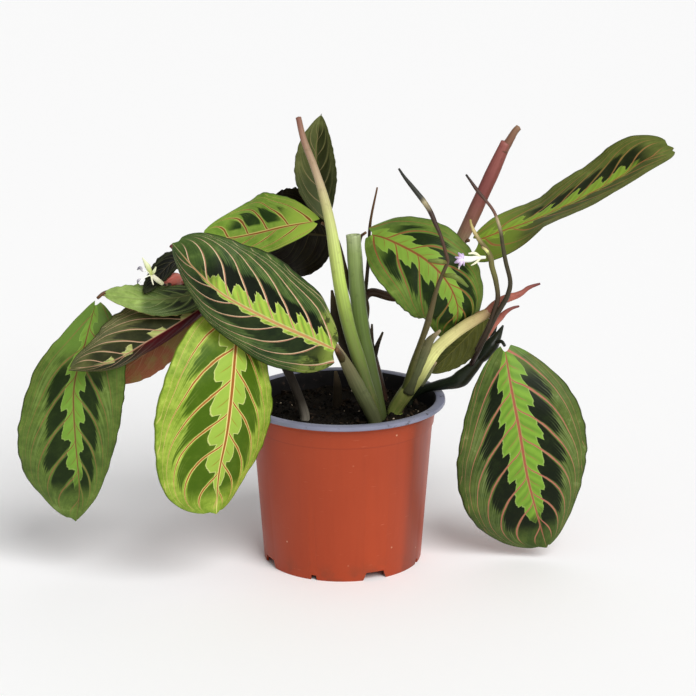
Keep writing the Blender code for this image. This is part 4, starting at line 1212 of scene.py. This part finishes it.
def petal(tip, wide):
    """One petal of the right flower, from its mouth to a tip, bowed forwards."""
    bend = tuple((a + b) / 2 + shift for a, b, shift in zip(RIGHT_MOUTH, tip, PETAL_BOW))
    return ("lilac_petal", [RIGHT_MOUTH, bend, tip], [0.8, wide, wide * 0.9, 0.5], PETAL)


stems("flower_right", [
    ("flower_tube", [(80.8, -25.4, 187.6), (76, -25.8, 187.4), (72, -26.2, 186.7), RIGHT_MOUTH],
        [0.8, 1.2, 1.7, 1.9], THROAT),
    ("stamen", [(78, -26, 188), (74.6, -26.4, 190.2), (71, -26.6, 190)], [0.5, 0.9, 0.4], FILAMENT),
    ("stamen", [(78, -26, 187), (75, -26.8, 184.6), (72.6, -27, 183.2)], [0.4, 0.7, 0.3], FILAMENT),
    ("stamen", [RIGHT_MOUTH, (66, -29, 184), (65.6, -29.6, 181.6)], [0.3, 0.25, 0.3], FILAMENT),
    *[petal(tip, wide) for tip, wide in PETALS],
])
stems("flower_left", [
    ("stamen", [(-100.2, -45.4, 177.4), (-103.5, -48.5, 181), LEFT_MOUTH], [1.1, 1.4, 1.2], THROAT),
    ("flower_sepal", [LEFT_MOUTH, (-107.4, -51.4, 188), (-110.6, -52, 194)], [0.8, 1.7, 0.3], SEPAL),
    ("flower_sepal", [LEFT_MOUTH, (-104.2, -52, 186.2), (-103, -53, 189)], [0.7, 1.0, 0.3], SEPAL),
    ("flower_tube", [LEFT_MOUTH, (-109.2, -52.4, 186.6), (-112.6, -52, 187.4)], [0.4, 0.4, 0.5], STRAND),
    ("flower_tube", [LEFT_MOUTH, (-109.4, -52.6, 182.8), (-112.4, -53, 180.4)], [0.4, 0.4, 0.5], STRAND),
    ("faded_petal", [(-110.4, -52.4, 186.2), (-112.0, -52.8, 188.6), (-113.4, -52.6, 187.2)],
        [0.5, 1.0, 0.4], GREY_PETAL),
    ("faded_petal", [(-111.4, -53, 182.2), (-113, -53.4, 181.4), (-113.4, -53.4, 179.6)],
        [0.4, 0.8, 0.3], GREY_PETAL),
    ("stamen", [LEFT_MOUTH, (-105.4, -53, 181.4), (-104.6, -54, 179)], [0.4, 0.5, 0.3], STRAND),
])

# ---------------------------------------------------------------- camera, light and floor

CAMERA_PLACE = Vector((0.0032, -1.400, 0.530))
CAMERA_TARGET = Vector((0.0032, 0.0, 0.127))
LIGHT_FROM = Vector((0.50, -0.85, 0.85))
FLOOR_REACH = 6.0


def make_camera():
    camera = placed("camera", bpy.data.cameras.new("camera"))
    camera.location = CAMERA_PLACE
    camera.rotation_euler = (CAMERA_TARGET - CAMERA_PLACE).to_track_quat("-Z", "Y").to_euler()
    camera.data.sensor_width = 36.0
    camera.data.lens = 129.83
    bpy.context.scene.camera = camera


def make_key_light():
    """One broad soft light from the front right."""
    light = bpy.data.lights.new("key", "SUN")
    light.energy = 2.6
    light.angle = math.radians(40)
    placed("key", light).rotation_euler = LIGHT_FROM.to_track_quat("Z", "Y").to_euler()


def make_studio():
    """A white studio that is darker to the left and a little darker to the right."""
    world = bpy.data.worlds.new("studio")
    world.use_nodes = True
    tree = world.node_tree
    source = tree.nodes.new("ShaderNodeTexCoord")
    split = tree.nodes.new("ShaderNodeSeparateXYZ")
    tree.links.new(source.outputs["Generated"], split.inputs[0])
    sideways = Field(tree, split.outputs[0])
    flags = (sideways * -1.0).step(0.1, 0.9) * -0.36 + sideways.step(0.4, 0.9) * -0.24
    connect(tree, flags + 0.56, tree.nodes["Background"].inputs["Strength"])
    tree.nodes["Background"].inputs["Color"].default_value = (1.0, 1.0, 1.0, 1.0)
    bpy.context.scene.world = world


def make_floor():
    mesh = bpy.data.meshes.new("floor")
    corners = [(x * FLOOR_REACH, y * FLOOR_REACH, 0) for x, y in ((-1, -1), (1, -1), (1, 1), (-1, 1))]
    mesh.from_pydata(corners, [], [(0, 1, 2, 3)])
    mesh.materials.append(Material("floor_white", specular=0.2).finish("#fdfdfd", 0.7))
    return placed("floor", mesh)


make_camera()
make_key_light()
make_studio()
bpy.context.scene.view_settings.view_transform = "Standard"
floor = make_floor()
